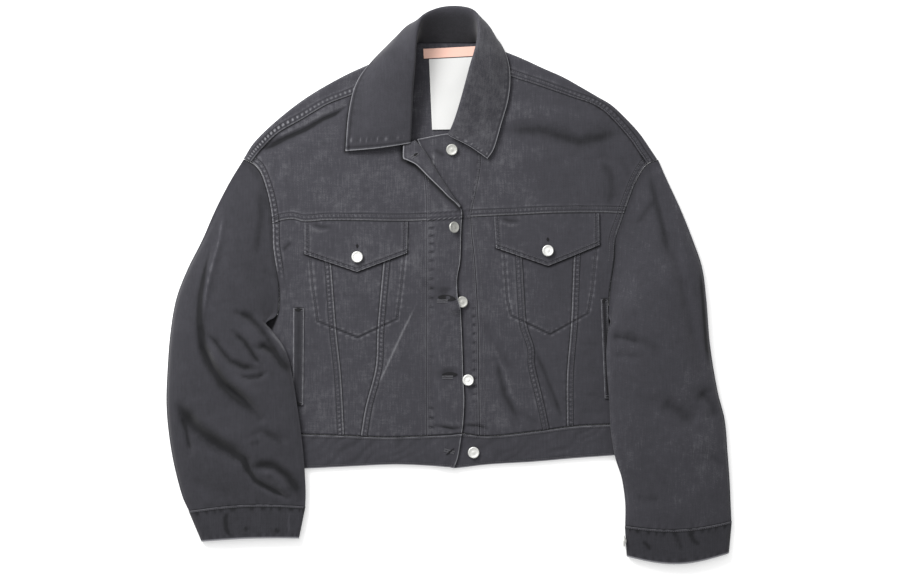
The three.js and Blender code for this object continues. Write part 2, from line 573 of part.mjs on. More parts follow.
// The buttonhole band, and its corner turned back on the chest
function turnedCorner() {
  const steps = TURNED_CORNER.map((row, step) => ({ ...row, step }));
  const last = TURNED_CORNER.length - 1;
  const side = (outer) => Array.from({ length: 2 * last + 1 }, (_, k) => {
    const at = (want) => valueAt(steps, 'step', want, k / 2);
    const roll = new THREE.Vector3(at('rollX'), at('rollY'), 0);
    const inward = new THREE.Vector3(at('edgeX'), at('edgeY'), 0).sub(roll);
    const width = inward.length();
    inward.normalize();
    const base = lappedUnder(roll.x, roll.y);
    const turn = outer
      ? [[5, 0.4], [2.4, 0.3], [0.4, 1.4], [0, 2.9], [0.6, 4.6], [2.6, 5.7]]
      : [[5, 2], [3.4, 2.1], [2.7, 2.5], [2.5, 2.9], [2.8, 3.2], [3.4, 3.3]];
    const top = outer ? 5.7 : 3.3;
    const rest = [0.55, 0.8, 1].map((share) => [lerp(3.4, width, share), top]);
    return [...turn, ...rest].map(([far, z]) => roll.clone().addScaledVector(inward, far).setZ(base + z));
  });
  return wall(side(true), side(false));
}

function placketRight() {
  const seam = BAND_SEAM_RIGHT.map(({ x, y }) => ({ y, x: x + 2 * SEAM * smooth(130, 180, y) }));
  const low = meeting(seam, HEM_SEAM);
  const edgeLow = meeting(LAP_EDGE, HEM_SEAM);
  const rollUp = TURNED_CORNER.map(({ rollX, rollY }) => [rollX, rollY]);
  const freeEdge = LAP_EDGE.filter((row) => row.y > edgeLow && row.y < 109).map(({ x, y }) => [x, y]);
  const layout = between({
    bottom: acrossSeam(HEM_SEAM, xAt(seam, low), xAt(LAP_EDGE, edgeLow)),
    top: polyline([[xAt(seam, 197), 197], [-46, 198]]),
    left: downSeam(seam, low, 197),
    right: curveThrough([[xAt(LAP_EDGE, edgeLow), edgeLow], ...freeEdge, ...rollUp]),
  });
  return joined(layOn(layout, 4, 34, lappedUnder, DOUBLED), turnedCorner());
}

function placketLeft() {
  const seam = BAND_SEAM_LEFT.map(({ x, y }) => ({ y, x: x - SEAM }));
  const [low, edgeLow] = [meeting(seam, HEM_SEAM), meeting(UNDER_EDGE, HEM_SEAM)];
  const layout = between({
    bottom: acrossSeam(HEM_SEAM, xAt(UNDER_EDGE, edgeLow), xAt(seam, low)),
    top: curveThrough(NECK_OF_LEFT_BAND.map(({ x, y }) => [x, y])),
    left: downSeam(UNDER_EDGE, edgeLow, 200),
    right: downSeam(seam, low, 250),
  });
  return layOn(layout, 4, 28, frontUnder, DOUBLED);
}

// One strip from the buttonhole end round the back to the button end
function waistband() {
  const rows = 3;
  const [outer, inner] = [[], []];
  const add = (place) => {
    const [outerRow, innerRow] = [[], []];
    for (let k = 0; k <= rows; k += 1) {
      const [outerPoint, innerPoint] = place(k / rows);
      outerRow.push(outerPoint);
      innerRow.push(innerPoint);
    }
    outer.push(outerRow);
    inner.push(innerRow);
  };
  const height = (x, v) => lerp(yAt(HEM, x), yAt(HEM_SEAM, x) - SEAM, v);
  const half = DOUBLED / 2;
  const frontMiddle = FRONT_REST + half;
  const radius = (frontMiddle - half) / 2;
  const frontRun = (edge, sideX, under, fromEdge) => {
    const count = 14;
    for (let k = 0; k <= count; k += 1) {
      const u = fromEdge ? k / count : 1 - k / count;
      add((v) => {
        const edgeX = xAt(edge, lerp(yAt(HEM, 8), yAt(HEM_SEAM, 8), v));
        const x = lerp(edgeX, sideX, u);
        const y = height(x, v);
        const z = lerp(under(x, y), FRONT_REST, smooth(0.7, 1, u));
        return [new THREE.Vector3(x, y, z + DOUBLED), new THREE.Vector3(x, y, z)];
      });
    }
  };
  const sideTurn = (x, direction) => {
    for (let k = 1; k < 5; k += 1) {
      const angle = (k / 5) * Math.PI;
      const turn = direction < 0 ? angle : Math.PI - angle;
      add((v) => [radius + half, radius - half].map((reach) => new THREE.Vector3(
        x + direction * reach * Math.sin(turn), height(x, v), half + radius + reach * Math.cos(turn))));
    }
  };
  const [sideRight, sideLeft] = [-237, 245];
  const backUnder = (x, y) => lappedUnder(x, y);
  frontRun(LAP_EDGE, sideRight, backUnder, true);
  sideTurn(sideRight, -1);
  const backPlaces = [sideRight, ...HEM_SEAM.slice(1, -1).map(({ x }) => x), sideLeft];
  backPlaces.forEach((x) => {
    add((v) => [new THREE.Vector3(x, height(x, v), 0), new THREE.Vector3(x, height(x, v), DOUBLED)]);
  });
  sideTurn(sideLeft, 1);
  frontRun(UNDER_EDGE, sideLeft, frontUnder, false);
  return wall(outer, inner);
}

// The collar follows the neck and is folded along its roll
function collar() {
  const steps = COLLAR.map((row, step) => ({ ...row, step }));
  const last = COLLAR.length - 1;
  const place = (t, column) => new THREE.Vector3(...[0, 1, 2].map((axis) => {
    const rows = steps.map((row) => ({ step: row.step, value: row[column][axis] }));
    return valueAt(rows, 'step', 'value', t * last);
  }));
  const shares = [0, 0.12, 0.22, 0.3, 0.36, 0.44, 0.56, 0.7, 0.85, 1];
  const stations = Math.round(1.6 * last);
  const grid = Array.from({ length: stations + 1 }, (_, k) => {
    const knots = ['neck', 'roll', 'leaf', 'edge'].map((column) => place(k / stations, column));
    const curve = new THREE.CatmullRomCurve3(knots, false, 'centripetal');
    return shares.map((share) => curve.getPointAt(share));
  });
  return thicken(grid, DOUBLED);
}

// Pockets, labels and buttons

function chestFlap({ flap, top }, under) {
  const layout = between({
    bottom: polyline([flap.left, flap.point, flap.right]),
    top: acrossSeam([{ x: flap.topLeft, y: top }, { x: flap.topRight, y: top }], flap.topLeft, flap.topRight),
    left: polyline([flap.left, [flap.topLeft, top]]),
    right: polyline([flap.right, [flap.topRight, top]]),
  });
  return layOn(layout, 10, 5, (x, y) => under(x, y) + DENIM + CLEAR, DOUBLED);
}

function chestBag({ bag }) {
  const layout = between({
    bottom: polyline([bag.left, bag.point, bag.right]),
    top: polyline([[bag.topLeft, BAG_TOP], [bag.topRight, BAG_TOP]]),
    left: polyline([bag.left, [bag.topLeft, BAG_TOP]]),
    right: polyline([bag.right, [bag.topRight, BAG_TOP]]),
  });
  return layOn(layout, 4, 2, () => DENIM + 0.4, LIGHT_CLOTH);
}

function welt({ top, bottom, width }) {
  const layout = between({
    bottom: polyline([bottom, [bottom[0] + width, bottom[1]]]),
    top: polyline([top, [top[0] + width, top[1]]]),
    left: polyline([bottom, top]),
    right: polyline([[bottom[0] + width, bottom[1]], [top[0] + width, top[1]]]),
  });
  return layOn(layout, 2, 10, (x, y) => frontUnder(x, y) + DENIM + CLEAR, DENIM);
}

const label = (corners) => {
  const geometry = flatPiece(corners, LIGHT_CLOTH);
  geometry.translate(0, 0, DENIM + 0.4);
  return geometry;
};

function button() {
  const profile = [
    [0, 0], [3.6, 0], [3.6, 1.4], [BUTTON_RADIUS - 1, 1.6], [BUTTON_RADIUS, 2.6],
    [BUTTON_RADIUS - 1.4, BUTTON_HEIGHT], [0, 4],
  ];
  const geometry = new THREE.LatheGeometry(profile.map(([r, z]) => new THREE.Vector2(r, z)), 16);
  geometry.rotateX(Math.PI / 2);
  return geometry;
}

// Sleeves and cuffs

function liftUnder(side, x, y) {
  if (side === 'right') {
    const over = smooth(-282, -250, x);
    const hold = lerp(SLEEVE_LIFT, CUFF_BUTTON_LIFT, smooth(-245, -285, y));
    return hold * over * smooth(-36, -52, y);
  }
  const over = 1 - smooth(256, 290, x);
  return SLEEVE_LIFT * over * smooth(-38, -52, y) * (1 - smooth(-240, -286, y));
}

function sleevePlaces(side) {
  const rows = (side === 'right' ? SLEEVE_RIGHT : SLEEVE_LEFT).map((row, step) => ({ ...row, step }));
  const armhole = side === 'right' ? SIDE_RIGHT : SIDE_LEFT;
  const apart = side === 'right' ? -1 : 1;
  const from = rows[0];
  const seam = downSeam(armhole, from.outerY, from.innerY);
  const last = rows.length - 1;
  const at = (want, step) => valueAt(rows, 'step', want, step);
  return {
    last,
    crown: (step) => at('crown', step),
    place(step, s) {
      const fade = 1 - smooth(0, 4, step);
      const bend = seam(s);
      const x = lerp(at('outerX', step), at('innerX', step), s)
        + fade * (bend.x + apart - lerp(from.outerX, from.innerX, s));
      const y = lerp(at('outerY', step), at('innerY', step), s) - fade * 0.7 * (1 - s)
        + SLEEVE_END_BOW[side] * Math.sin(Math.PI * s) * smooth(last - 3, last, step);
      return [x, y];
    },
  };
}

// How a sleeve turns at its edge: millimetres from the edge, and how far the under layer has come down
const EDGE_TURN = [
  { reach: 0, share: 0 }, { reach: 0.15, share: 0.4 }, { reach: 1.3, share: 0.78 }, { reach: 4, share: 1 },
];
const EDGE_SPREAD = 0.45;
const EDGE_STAND = 1.2;

function acrossSleeve(width, middle) {
  const near = EDGE_TURN.map(({ reach }) => reach / width);
  const from = near[near.length - 1];
  const inside = Array.from({ length: middle - 1 }, (_, k) => lerp(from, 1 - from, (k + 1) / middle));
  return [...near, ...inside, ...near.map((share) => 1 - share).reverse()];
}

function sleeveGrid(side, stations, middle, level) {
  const sleeve = sleevePlaces(side);
  return Array.from({ length: stations + 1 }, (_, i) => {
    const step = (i / stations) * sleeve.last;
    const [start, end] = [sleeve.place(step, 0), sleeve.place(step, 1)];
    const width = Math.hypot(end[0] - start[0], end[1] - start[1]);
    return acrossSleeve(width, middle).map((s) => {
      const [x, y] = sleeve.place(step, s);
      const under = DENIM / 2 + liftUnder(side, x, y);
      const edge = under + lerp(2.1, 2.8, smooth(0, 2, step));
      const reach = Math.min(s, 1 - s) * width;
      return new THREE.Vector3(x, y, level({ x, y, s, step, under, edge, reach, sleeve }));
    });
  });
}

function sleeveTop(side) {
  const folds = side === 'right' ? SLEEVE_FOLDS_RIGHT : SLEEVE_FOLDS_LEFT;
  const grid = sleeveGrid(side, 26, 8, ({ x, y, s, step, under, edge, reach, sleeve }) => {
    const round = Math.sqrt(4 * s * (1 - s));
    const inside = smooth(2, 30, reach) * smooth(0, 3, step);
    const shaped = edge + (sleeve.crown(step) - edge) * round ** 0.85 + foldRelief(folds, x, y) * inside;
    const near = frontUnder(x, y) + DENIM / 2;
    const open = Math.max(lerp(near, shaped, smooth(0, 3.2, step)), under + DENIM + 1.2);
    const stand = edge + EDGE_SPREAD + EDGE_STAND * Math.min(1, reach / 0.15);
    return lerp(stand, Math.max(open, stand), smooth(0.15, 4, reach));
  });
  return thicken(grid, DENIM);
}

function sleeveUnder(side) {
  const grid = sleeveGrid(side, 18, 6, ({ under, edge, reach }) => (
    lerp(edge - EDGE_SPREAD, under, valueAt(EDGE_TURN, 'reach', 'share', reach))));
  return thicken(grid, DENIM);
}

// A cuff is one ring, flattened, with its own lower edge
function cuff(side) {
  const sleeve = sleevePlaces(side);
  const end = CUFFS[side];
  const [stations, top, bottom] = [3, 12, 8];
  const half = CUFF_CLOTH / 2;
  const section = (t) => {
    const points = [];
    const add = (angle, upper) => {
      const s = (1 - Math.cos(angle)) / 2;
      const [x0, y0] = sleeve.place(sleeve.last, s);
      const x1 = lerp(end.outerX, end.innerX, s);
      const y1 = lerp(end.outerY, end.innerY, s) + end.bow * Math.sin(Math.PI * s);
      const drawn = lerp(2 * SEAM / 40, 1, t);
      const [x, y] = [lerp(x0, x1, drawn), lerp(y0, y1, drawn)];
      const under = half + liftUnder(side, x, y);
      const edge = under + 2.9;
      const level = upper ? edge + (CUFF_CROWN - edge) * Math.sin(angle) ** 0.5 : under;
      const z = lerp(edge, level, Math.min(1, Math.sin(angle) / 0.35));
      points.push(new THREE.Vector3(x, y, z));
    };
    for (let k = 0; k < top; k += 1) add((k / top) * Math.PI, true);
    for (let k = 0; k < bottom; k += 1) add(Math.PI * (1 - k / bottom), false);
    return points;
  };
  const grid = Array.from({ length: stations + 1 }, (_, i) => section(i / stations));
  return thickenRing(grid, CUFF_CLOTH);
}

// A wall round rings of points, open at both ends
function thickenRing(grid, thickness) {
  const count = grid[0].length;
  const side = (sign) => grid.map((row, i) => row.map((point, j) => {
    const along = grid[Math.min(i + 1, grid.length - 1)][j].clone().sub(grid[Math.max(i - 1, 0)][j]);
    const round = row[(j + 1) % count].clone().sub(row[(j + count - 1) % count]);
    const normal = new THREE.Vector3().crossVectors(along, round).normalize();
    return point.clone().addScaledVector(normal, sign * thickness * 0.5);
  }));
  const [outer, inner] = [side(1), side(-1)];
  const index = [];
  const at = (layer, i, j) => (layer * grid.length + i) * count + (j % count);
  const quad = (a, b, c, d) => index.push(a, b, c, a, c, d);
  for (let j = 0; j < count; j += 1) {
    for (let i = 0; i + 1 < grid.length; i += 1) {
      quad(at(0, i, j), at(0, i + 1, j), at(0, i + 1, j + 1), at(0, i, j + 1));
      quad(at(1, i, j), at(1, i, j + 1), at(1, i + 1, j + 1), at(1, i + 1, j));
    }
    const end = grid.length - 1;
    quad(at(0, 0, j), at(0, 0, j + 1), at(1, 0, j + 1), at(1, 0, j));
    quad(at(0, end, j + 1), at(0, end, j), at(1, end, j), at(1, end, j + 1));
  }
  return solid([...outer.flat(), ...inner.flat()], index);
}

// Materials
const denim = new THREE.MeshStandardMaterial({ color: 0x4b4b50, roughness: 0.9, metalness: 0 });
const innerCloth = new THREE.MeshStandardMaterial({ color: 0x5a5a5e, roughness: 0.95, metalness: 0 });
const metal = new THREE.MeshStandardMaterial({ color: 0xe4e4e2, roughness: 0.35, metalness: 0.9 });
const pinkTape = new THREE.MeshStandardMaterial({ color: 0xefb6bd, roughness: 0.8, metalness: 0 });
const whiteTape = new THREE.MeshStandardMaterial({ color: 0xf2f2f0, roughness: 0.7, metalness: 0 });

const jacket = new THREE.Group();

function add(name, geometry, material = denim) {
  const mesh = new THREE.Mesh(geometry, material);
  mesh.name = name;
  jacket.add(mesh);
  return mesh;
}

add('back_panel', backPanel());
add('back_yoke', backYoke());
add('front_yoke_right', frontYokeRight());
add('front_yoke_left', frontYokeLeft());
add('front_side_right', frontPanel(SIDE_RIGHT, SEAMS_RIGHT.outer, 5, frontUnder));
add('front_middle_right', frontPanel(SEAMS_RIGHT.outer, SEAMS_RIGHT.inner, 4, frontUnder));
add('front_centre_right', frontPanel(SEAMS_RIGHT.inner, BAND_SEAM_RIGHT, 5, lappedUnder));
add('front_centre_left', frontPanel(BAND_SEAM_LEFT, SEAMS_LEFT.inner, 6, frontUnder));
add('front_middle_left', frontPanel(SEAMS_LEFT.inner, SEAMS_LEFT.outer, 4, frontUnder));
add('front_side_left', frontPanel(SEAMS_LEFT.outer, SIDE_LEFT, 5, frontUnder));
add('placket_right', placketRight());
add('placket_left', placketLeft());
add('waistband', waistband());
add('collar', collar());
['right', 'left'].forEach((side) => {
  add(`pocket_bag_${side}`, chestBag(CHEST_POCKETS[side]), innerCloth);
  add(`pocket_flap_${side}`, chestFlap(CHEST_POCKETS[side], side === 'right' ? lappedUnder : frontUnder));
  add(`welt_${side}`, welt(WELTS[side]));
  add(`sleeve_top_${side}`, sleeveTop(side));
  add(`sleeve_under_${side}`, sleeveUnder(side));
  add(`cuff_${side}`, cuff(side));
});
add('label_neck', label(LABELS.neck), pinkTape);
add('label_care', label(LABELS.care), whiteTape);

// Buttons: the first and the last three are on the left band, the second is done up on the right one
const onLeftBand = (x, y) => frontUnder(x, y) + DOUBLED;
const onRightBand = (x, y) => lappedUnder(x, y) + DOUBLED;
const onFlap = (x, y) => frontUnder(x, y) + DENIM + CLEAR + DOUBLED;
const FRONT_BUTTONS = [
  { name: 'button_front_1', x: 4.1, y: 185.6, on: onLeftBand },
  { name: 'button_front_2', x: 6.8, y: 80.9, on: onRightBand },
  { name: 'button_front_3', x: thirdButton[0], y: thirdButton[1], on: onLeftBand },
  { name: 'button_front_4', x: 28, y: -127, on: onLeftBand },
  { name: 'button_front_5', x: 33.3, y: -225, on: onLeftBand },
  { name: 'button_flap_right', x: -124.4, y: 40, on: onFlap },
  { name: 'button_flap_left', x: 134, y: 48.5, on: onFlap },
];
FRONT_BUTTONS.forEach(({ name, x, y, on }) => {
  add(name, button(), metal).position.set(x, y, on(x, y) + CLEAR);
});

// The left cuff's button faces the body; the right cuff lies on its own
const cuffButtonLeft = add('button_cuff_left', button(), metal);
cuffButtonLeft.rotation.y = -Math.PI / 2;
cuffButtonLeft.position.set(240.2, -345, BUTTON_RADIUS);
const cuffButtonRight = add('button_cuff_right', button(), metal);
cuffButtonRight.rotation.x = Math.PI;
cuffButtonRight.position.set(-219, -320, BUTTON_HEIGHT);

// The garment's box is centred over the origin
const box = new THREE.Box3().setFromObject(jacket);
const centre = box.getCenter(new THREE.Vector3());
jacket.children.forEach((mesh) => mesh.position.add(new THREE.Vector3(-centre.x, -centre.y, -box.min.z)));

export default jacket;
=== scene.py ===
"""A cropped denim jacket in washed charcoal, laid flat on its back.

Lengths are millimetres until a mesh is made. X runs to the wearer's left, Y up to the collar and
Z up from the table. Right and left are the wearer's, so the right front is on the left of the view.
"""
import math

import bpy
import numpy as np
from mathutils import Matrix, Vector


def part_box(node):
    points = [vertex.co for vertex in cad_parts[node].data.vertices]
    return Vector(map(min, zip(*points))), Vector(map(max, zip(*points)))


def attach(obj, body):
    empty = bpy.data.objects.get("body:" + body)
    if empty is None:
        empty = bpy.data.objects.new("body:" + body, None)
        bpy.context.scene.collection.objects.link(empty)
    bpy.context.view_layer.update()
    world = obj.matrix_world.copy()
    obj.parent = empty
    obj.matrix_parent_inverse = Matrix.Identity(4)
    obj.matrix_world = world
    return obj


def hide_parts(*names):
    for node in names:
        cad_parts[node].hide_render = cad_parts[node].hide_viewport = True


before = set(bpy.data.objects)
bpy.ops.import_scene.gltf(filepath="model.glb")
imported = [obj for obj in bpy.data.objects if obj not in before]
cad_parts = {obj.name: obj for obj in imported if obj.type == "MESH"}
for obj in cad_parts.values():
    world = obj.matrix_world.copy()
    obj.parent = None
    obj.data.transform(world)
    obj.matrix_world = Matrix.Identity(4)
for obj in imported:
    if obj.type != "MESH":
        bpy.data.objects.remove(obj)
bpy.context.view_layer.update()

MM = 0.001
DENIM = 1.4
DOUBLED = 2.2
CUFF_CLOTH = 2.4
TAPE = 0.5
SEAM = 0.1
CLEAR = 0.5
FRONT_REST = 3.5
FRONT_LOWEST = 2.1
LAP_RISE = DOUBLED + CLEAR + 0.2
ARMHOLE_RISE = 3.5
SIDE_DROP = 1.4
BUTTON_RADIUS = 7.8
BUTTON_HEIGHT = 4.6
STITCH_PITCH = 3.1
BUTTON_ONE = (4.1, 185.6)

# Outlines of the body. Seams that run across give (x, y), seams that run down give (y, x).
YOKE_SEAM = [(-238, 86), (-228, 90), (-214, 92), (-206, 91), (-198, 88.8), (-185, 89), (-170, 90.4),
             (-133, 90.5), (-54, 89.5), (10, 93), (28, 95),
             (91, 98), (144, 100.5), (204, 101), (238, 100)]
HEM_SEAM = [(-240, -200), (-201, -200.5), (-147, -202), (-82, -204.5), (0, -201), (16, -199.5),
            (53, -203), (118, -196.5), (170, -189.5), (219, -187), (248, -185)]
HEM = [(-240, -248), (-196, -247), (-133, -244), (-68, -241.5), (0, -245), (8, -246.5),
       (53, -241.5), (118, -237.5), (170, -233), (226, -229), (248, -227)]
LAP_EDGE = [(-247, 6.5), (-232, 12), (-205, 16.5), (-185, 19), (-154, 20.5), (-122, 19), (-85, 18),
            (-48, 16.5), (-28, 15), (-14, 11.5), (12, 11), (36, 15), (80, 16.5), (100, 17.5), (110, 14)]
UNDER_EDGE = [(-247, -3), (-175, -3), (-51, -5), (30, -10), (95, -16), (150, -24), (180, -34),
              (200, -43)]
BAND_SEAM_RIGHT = [(-247, -30), (-120, -30.5), (90, -30), (130, -31), (160, -35), (180, -42),
                   (197, -51)]
BAND_SEAM_LEFT = [(-247, 41.5), (-175, 41), (-100, 40), (-51, 39.4), (30, 35), (95, 29.5),
                  (135, 37), (165, 42), (210, 44), (250, 45), (297, 50)]
OUTER_SEAM_RIGHT = [(-200, -142.8), (-122, -147), (-58, -153.7), (32, -160.5), (91, -165)]
INNER_SEAM_RIGHT = [(-204, -119.7), (-164, -113), (-110, -99.3), (-58, -96.6), (35, -88.4),
                    (91, -83)]
OUTER_SEAM_LEFT = [(-191, 160.5), (-122, 160.5), (-52, 166), (43, 170), (102, 173)]
INNER_SEAM_LEFT = [(-195, 136), (-158, 128), (-107, 116), (-84, 115), (-52, 105), (-18, 102),
                   (99, 96)]
SIDE_RIGHT = [(-250, -238), (-120, -242), (-66, -243), (-50, -237), (-36, -232), (-8, -230.5),
              (16, -232.5), (54, -238), (86, -239), (115, -243), (142, -250.2), (158, -257),
              (168, -267), (173.5, -279)]
SIDE_LEFT = [(-250, 246), (-120, 244), (-74, 240), (-62, 227), (-50, 218), (-38, 216), (0, 219),
             (39, 224.4), (66, 226), (98, 236.5), (114, 242), (142, 253), (160, 263), (168, 271),
             (172.5, 283)]
# Shoulders: seam of the front yoke (x, y), then the fold where the back yoke turns under (x, y)
SHOULDER_RIGHT = [(-60, 289, -74, 319), (-100, 275, -107, 303), (-129, 262, -140, 288),
                  (-165, 248, -178, 267), (-199, 228, -208, 247), (-232, 209, -241, 220),
                  (-255, 187, -265, 196), (-269, 169.6, -279.4, 173.8)]
SHOULDER_LEFT = [(50, 298, 58, 326), (84, 286, 95, 312), (118, 275, 128, 297),
                 (144, 266, 155, 285), (170, 257, 180, 271), (194, 249, 204, 257),
                 (212, 238, 222, 246), (231, 219, 243, 226), (247, 200, 260, 207),
                 (258, 184, 273, 188), (269.3, 167.7, 283.3, 172.6)]
NECK_RIGHT = [(-62, 206), (-61.5, 228), (-60, 255), (-60, 289)]
NECK_LEFT = [(50, 298)]
NECK_OF_LEFT_BAND = [(-43, 200), (-3, 207.5), (15, 206), (32, 230), (45, 250)]
BACK_NECK = [(-60, 325.2), (-43, 333), (-37, 332), (-32, 331.9), (0, 331.95), (28, 331.9), (34, 332), (40, 333)]
BACK_YOKE_SEAM_Y = 100

# The turned-back corner of the right front: roll line (x, y), then its free edge (x, y)
TURNED_CORNER = [(15, 108.6, 14.2, 107.4), (10.5, 115.5, 8.6, 113.8), (4.5, 124, -0.5, 121.4),
                 (-3, 135.5, -12, 133), (-13.5, 151.5, -28, 148.5), (-23, 168, -44, 164.5),
                 (-33, 184, -57, 171.3), (-37, 188.5, -61.8, 173.5), (-41, 193, -62.4, 181),
                 (-46, 198, -62, 190.5)]

# The collar from its right point to its left point: neck, roll, middle of the leaf, free edge
COLLAR = [
    ((-59.5, 196, 6.8), (-55, 194, 13), (-98, 187.3, 12.5), (-140.2, 183.6, 9)),
    ((-58, 228, 6.7), (-53, 224, 19), (-94, 226, 18), (-136.8, 228, 8.5)),
    ((-57, 255, 6.6), (-51.5, 259, 24), (-91, 258, 21), (-130.5, 262, 8.5)),
    ((-57, 283, 6.8), (-49, 281, 29), (-86, 286, 24), (-121, 284, 8.5)),
    ((-57, 302, 7.5), (-46.5, 305, 33), (-79, 314, 25), (-106, 303, 8.5)),
    ((-52, 324, 7), (-45, 326, 36), (-68, 333, 22), (-85, 325, 6)),
    ((-42, 332.2, 3.3), (-42, 346, 37), (-55, 352, 20), (-63, 345, 3)),
    ((-32, 332, 2), (-34.5, 362, 34), (-36.5, 361, 16), (-38, 350, 2.2)),
    ((-15, 332.1, 1.8), (-14, 372, 31), (-14, 368, 13), (-15, 350, 2.2)),
    ((8, 332.1, 1.8), (10, 374.5, 30), (10, 370, 12), (8, 350, 2.2)),
    ((28, 332, 2), (31, 370, 32), (33, 366, 15), (30, 350, 2.2)),
    ((38, 332.2, 3.3), (39, 356, 36), (49, 357, 20), (53, 346, 3)),
    ((44, 325, 6), (39, 336, 38), (57, 341, 24), (66, 334, 5)),
    ((47, 312, 8), (35.5, 318, 40), (58, 322, 27), (75.5, 318, 7)),
    ((46.5, 292, 7.5), (30, 300, 40), (58, 301, 28), (81, 299, 8.5)),
    ((43, 272, 6.5), (24, 278, 37), (54, 276, 26), (82.5, 278, 8.5)),
    ((37, 252, 6), (17.5, 254, 32), (49, 249, 22), (79.5, 252, 8.5)),
    ((28, 233, 6), (10, 229, 25), (42, 220, 18), (71, 222, 8.5)),
    ((18, 217, 6), (4, 213, 19), (36, 201, 15), (61, 188, 8.5)),
    ((11, 209.5, 6), (0, 205.5, 14), (28, 190, 13), (52, 173.5, 9)),
]

# Sleeves from the armhole to the cuff: outer edge (x, y), inner edge (x, y), height of the crown
SLEEVE_RIGHT = [
    (-279, 173, -232, -36, 7), (-297.8, 142, -237.5, -42, 13), (-317, 104, -243.5, -45, 18),
    (-334.6, 63, -248, -48.5, 21), (-355, 22, -247.5, -52.5, 23), (-370, -18, -239.5, -61, 24),
    (-378, -66, -223.5, -84, 25), (-382, -120, -215, -110, 25), (-383, -161, -206, -163, 23),
    (-379.5, -202, -200, -207, 22), (-372.5, -243, -196.5, -244, 20), (-362, -283, -195, -277, 15),
    (-352.5, -304.5, -195.6, -298, 11),
]
SLEEVE_LEFT = [
    (283, 172.5, 216, -38, 7), (295, 145, 219, -47, 13), (314, 104, 217.5, -54, 18),
    (330.5, 63, 216, -63, 20), (343, 26, 215, -74, 22), (349, -18, 214, -90, 23),
    (354, -80, 215, -118, 23), (364, -141, 218, -155, 22), (374, -182, 220, -195, 21),
    (378, -229, 226, -232, 20), (380.5, -263, 235, -260, 18), (382, -297, 240, -293, 15),
    (383, -318.5, 240, -325, 11),
]
SLEEVE_END_BOW = {"right": 5.5, "left": -7.5}
CUFF_ENDS = {"right": (-335, -346, -204.5, -341.5, 2), "left": (379, -362, 242.5, -366.5, -12)}
CUFF_CROWN = 10.4
SLEEVE_LIFT = 7.9
CUFF_BUTTON_LIFT = BUTTON_HEIGHT + 0.3

# Folds: a line of places, its half width, and its height (a trough is negative)
BODY_FOLDS = [
    ([(-135.5, 247), (-154.6, 234.6), (-170.4, 227.8), (-194, 214), (-221, 202), (-256, 184)], 4.5, -2.3),
    ([(-128, 252), (-165, 238), (-205, 214), (-240, 198)], 8, 0.8),
    ([(-43.5, -22), (-66, -68), (-87, -114), (-105, -148)], 2, 0.25),
    ([(-220, 186), (-225, 150), (-226, 111)], 8, 0.7),
    ([(-232, 170), (-236, 140), (-235, 112)], 5, -0.6),
    ([(-12, -9), (-4, -7.5), (6, -8)], 4.2, -1.9),
    ([(-7, -116), (0, -113.5), (9, -115)], 3.6, -1.4),
    ([(-12, -190), (2, -192), (17, -193)], 2.6, -1.3),
    ([(22, -187), (40, -189), (52, -194)], 2.6, -1.3),
    ([(-10, -186), (10, -187), (44, -184)], 3.5, 0.7),
    ([(69, 213), (124, 213), (178, 197), (243, 213)], 11, -1.9),
    ([(75, 236), (120, 238), (160, 230), (205, 228)], 12, 1.2),
    ([(236, 172), (250, 145), (256, 118)], 5, -0.8),
    ([(212, 165), (213, 140), (212, 111)], 4, -0.6),
    ([(200, 172), (212, 178), (222, 168)], 3, -0.7),
    ([(46, -46), (56, -63), (69, -86), (90, -120)], 5, -1.3),
    ([(65, -100), (71, -125), (76, -148), (97, -186)], 4.5, -1.9),
    ([(83, -154), (92, -168), (103, -176), (126, -190)], 4, -1.2),
    ([(117, -86), (128, -112), (137, -134), (155, -182)], 4, -1.3),
    ([(131, -134), (142, -160), (158, -182)], 3.5, -0.9),
    ([(56, -73), (70, -105), (86, -148), (100, -165)], 6, 0.5),
    ([(104, -100), (116, -130), (128, -160)], 6, 0.4),
    ([(178, -80), (192, -79), (205, -81)], 2.6, -0.5),
    ([(185, -147), (200, -149), (211, -154)], 3, -0.8),
    ([(186, -170), (200, -172), (214, -169)], 4, -0.5),
    ([(-226, 48), (-217, 57.5), (-212, 57.5)], 3, -0.8),
    ([(-150, -12), (-132, -14), (-112, -12)], 3, -0.5),
    ([(-196, -86), (-184, -84), (-172, -88)], 4, -0.5),
    ([(-193, -130), (-180, -134), (-168, -131)], 4, -0.5),
    ([(-205, 172), (-180, 160), (-150, 156)], 12, -0.5),
    ([(-60, 40), (-46, 20), (-38, -10)], 9, 0.5),
    ([(60, 180), (100, 176), (140, 180)], 12, 0.5),
    ([(48, 60), (52, 20), (50, -20)], 9, 0.4),
    ([(186, 60), (196, 10), (198, -50)], 8, 0.6),
    ([(-205, 20), (-200, -20), (-202, -60)], 8, 0.5),
]
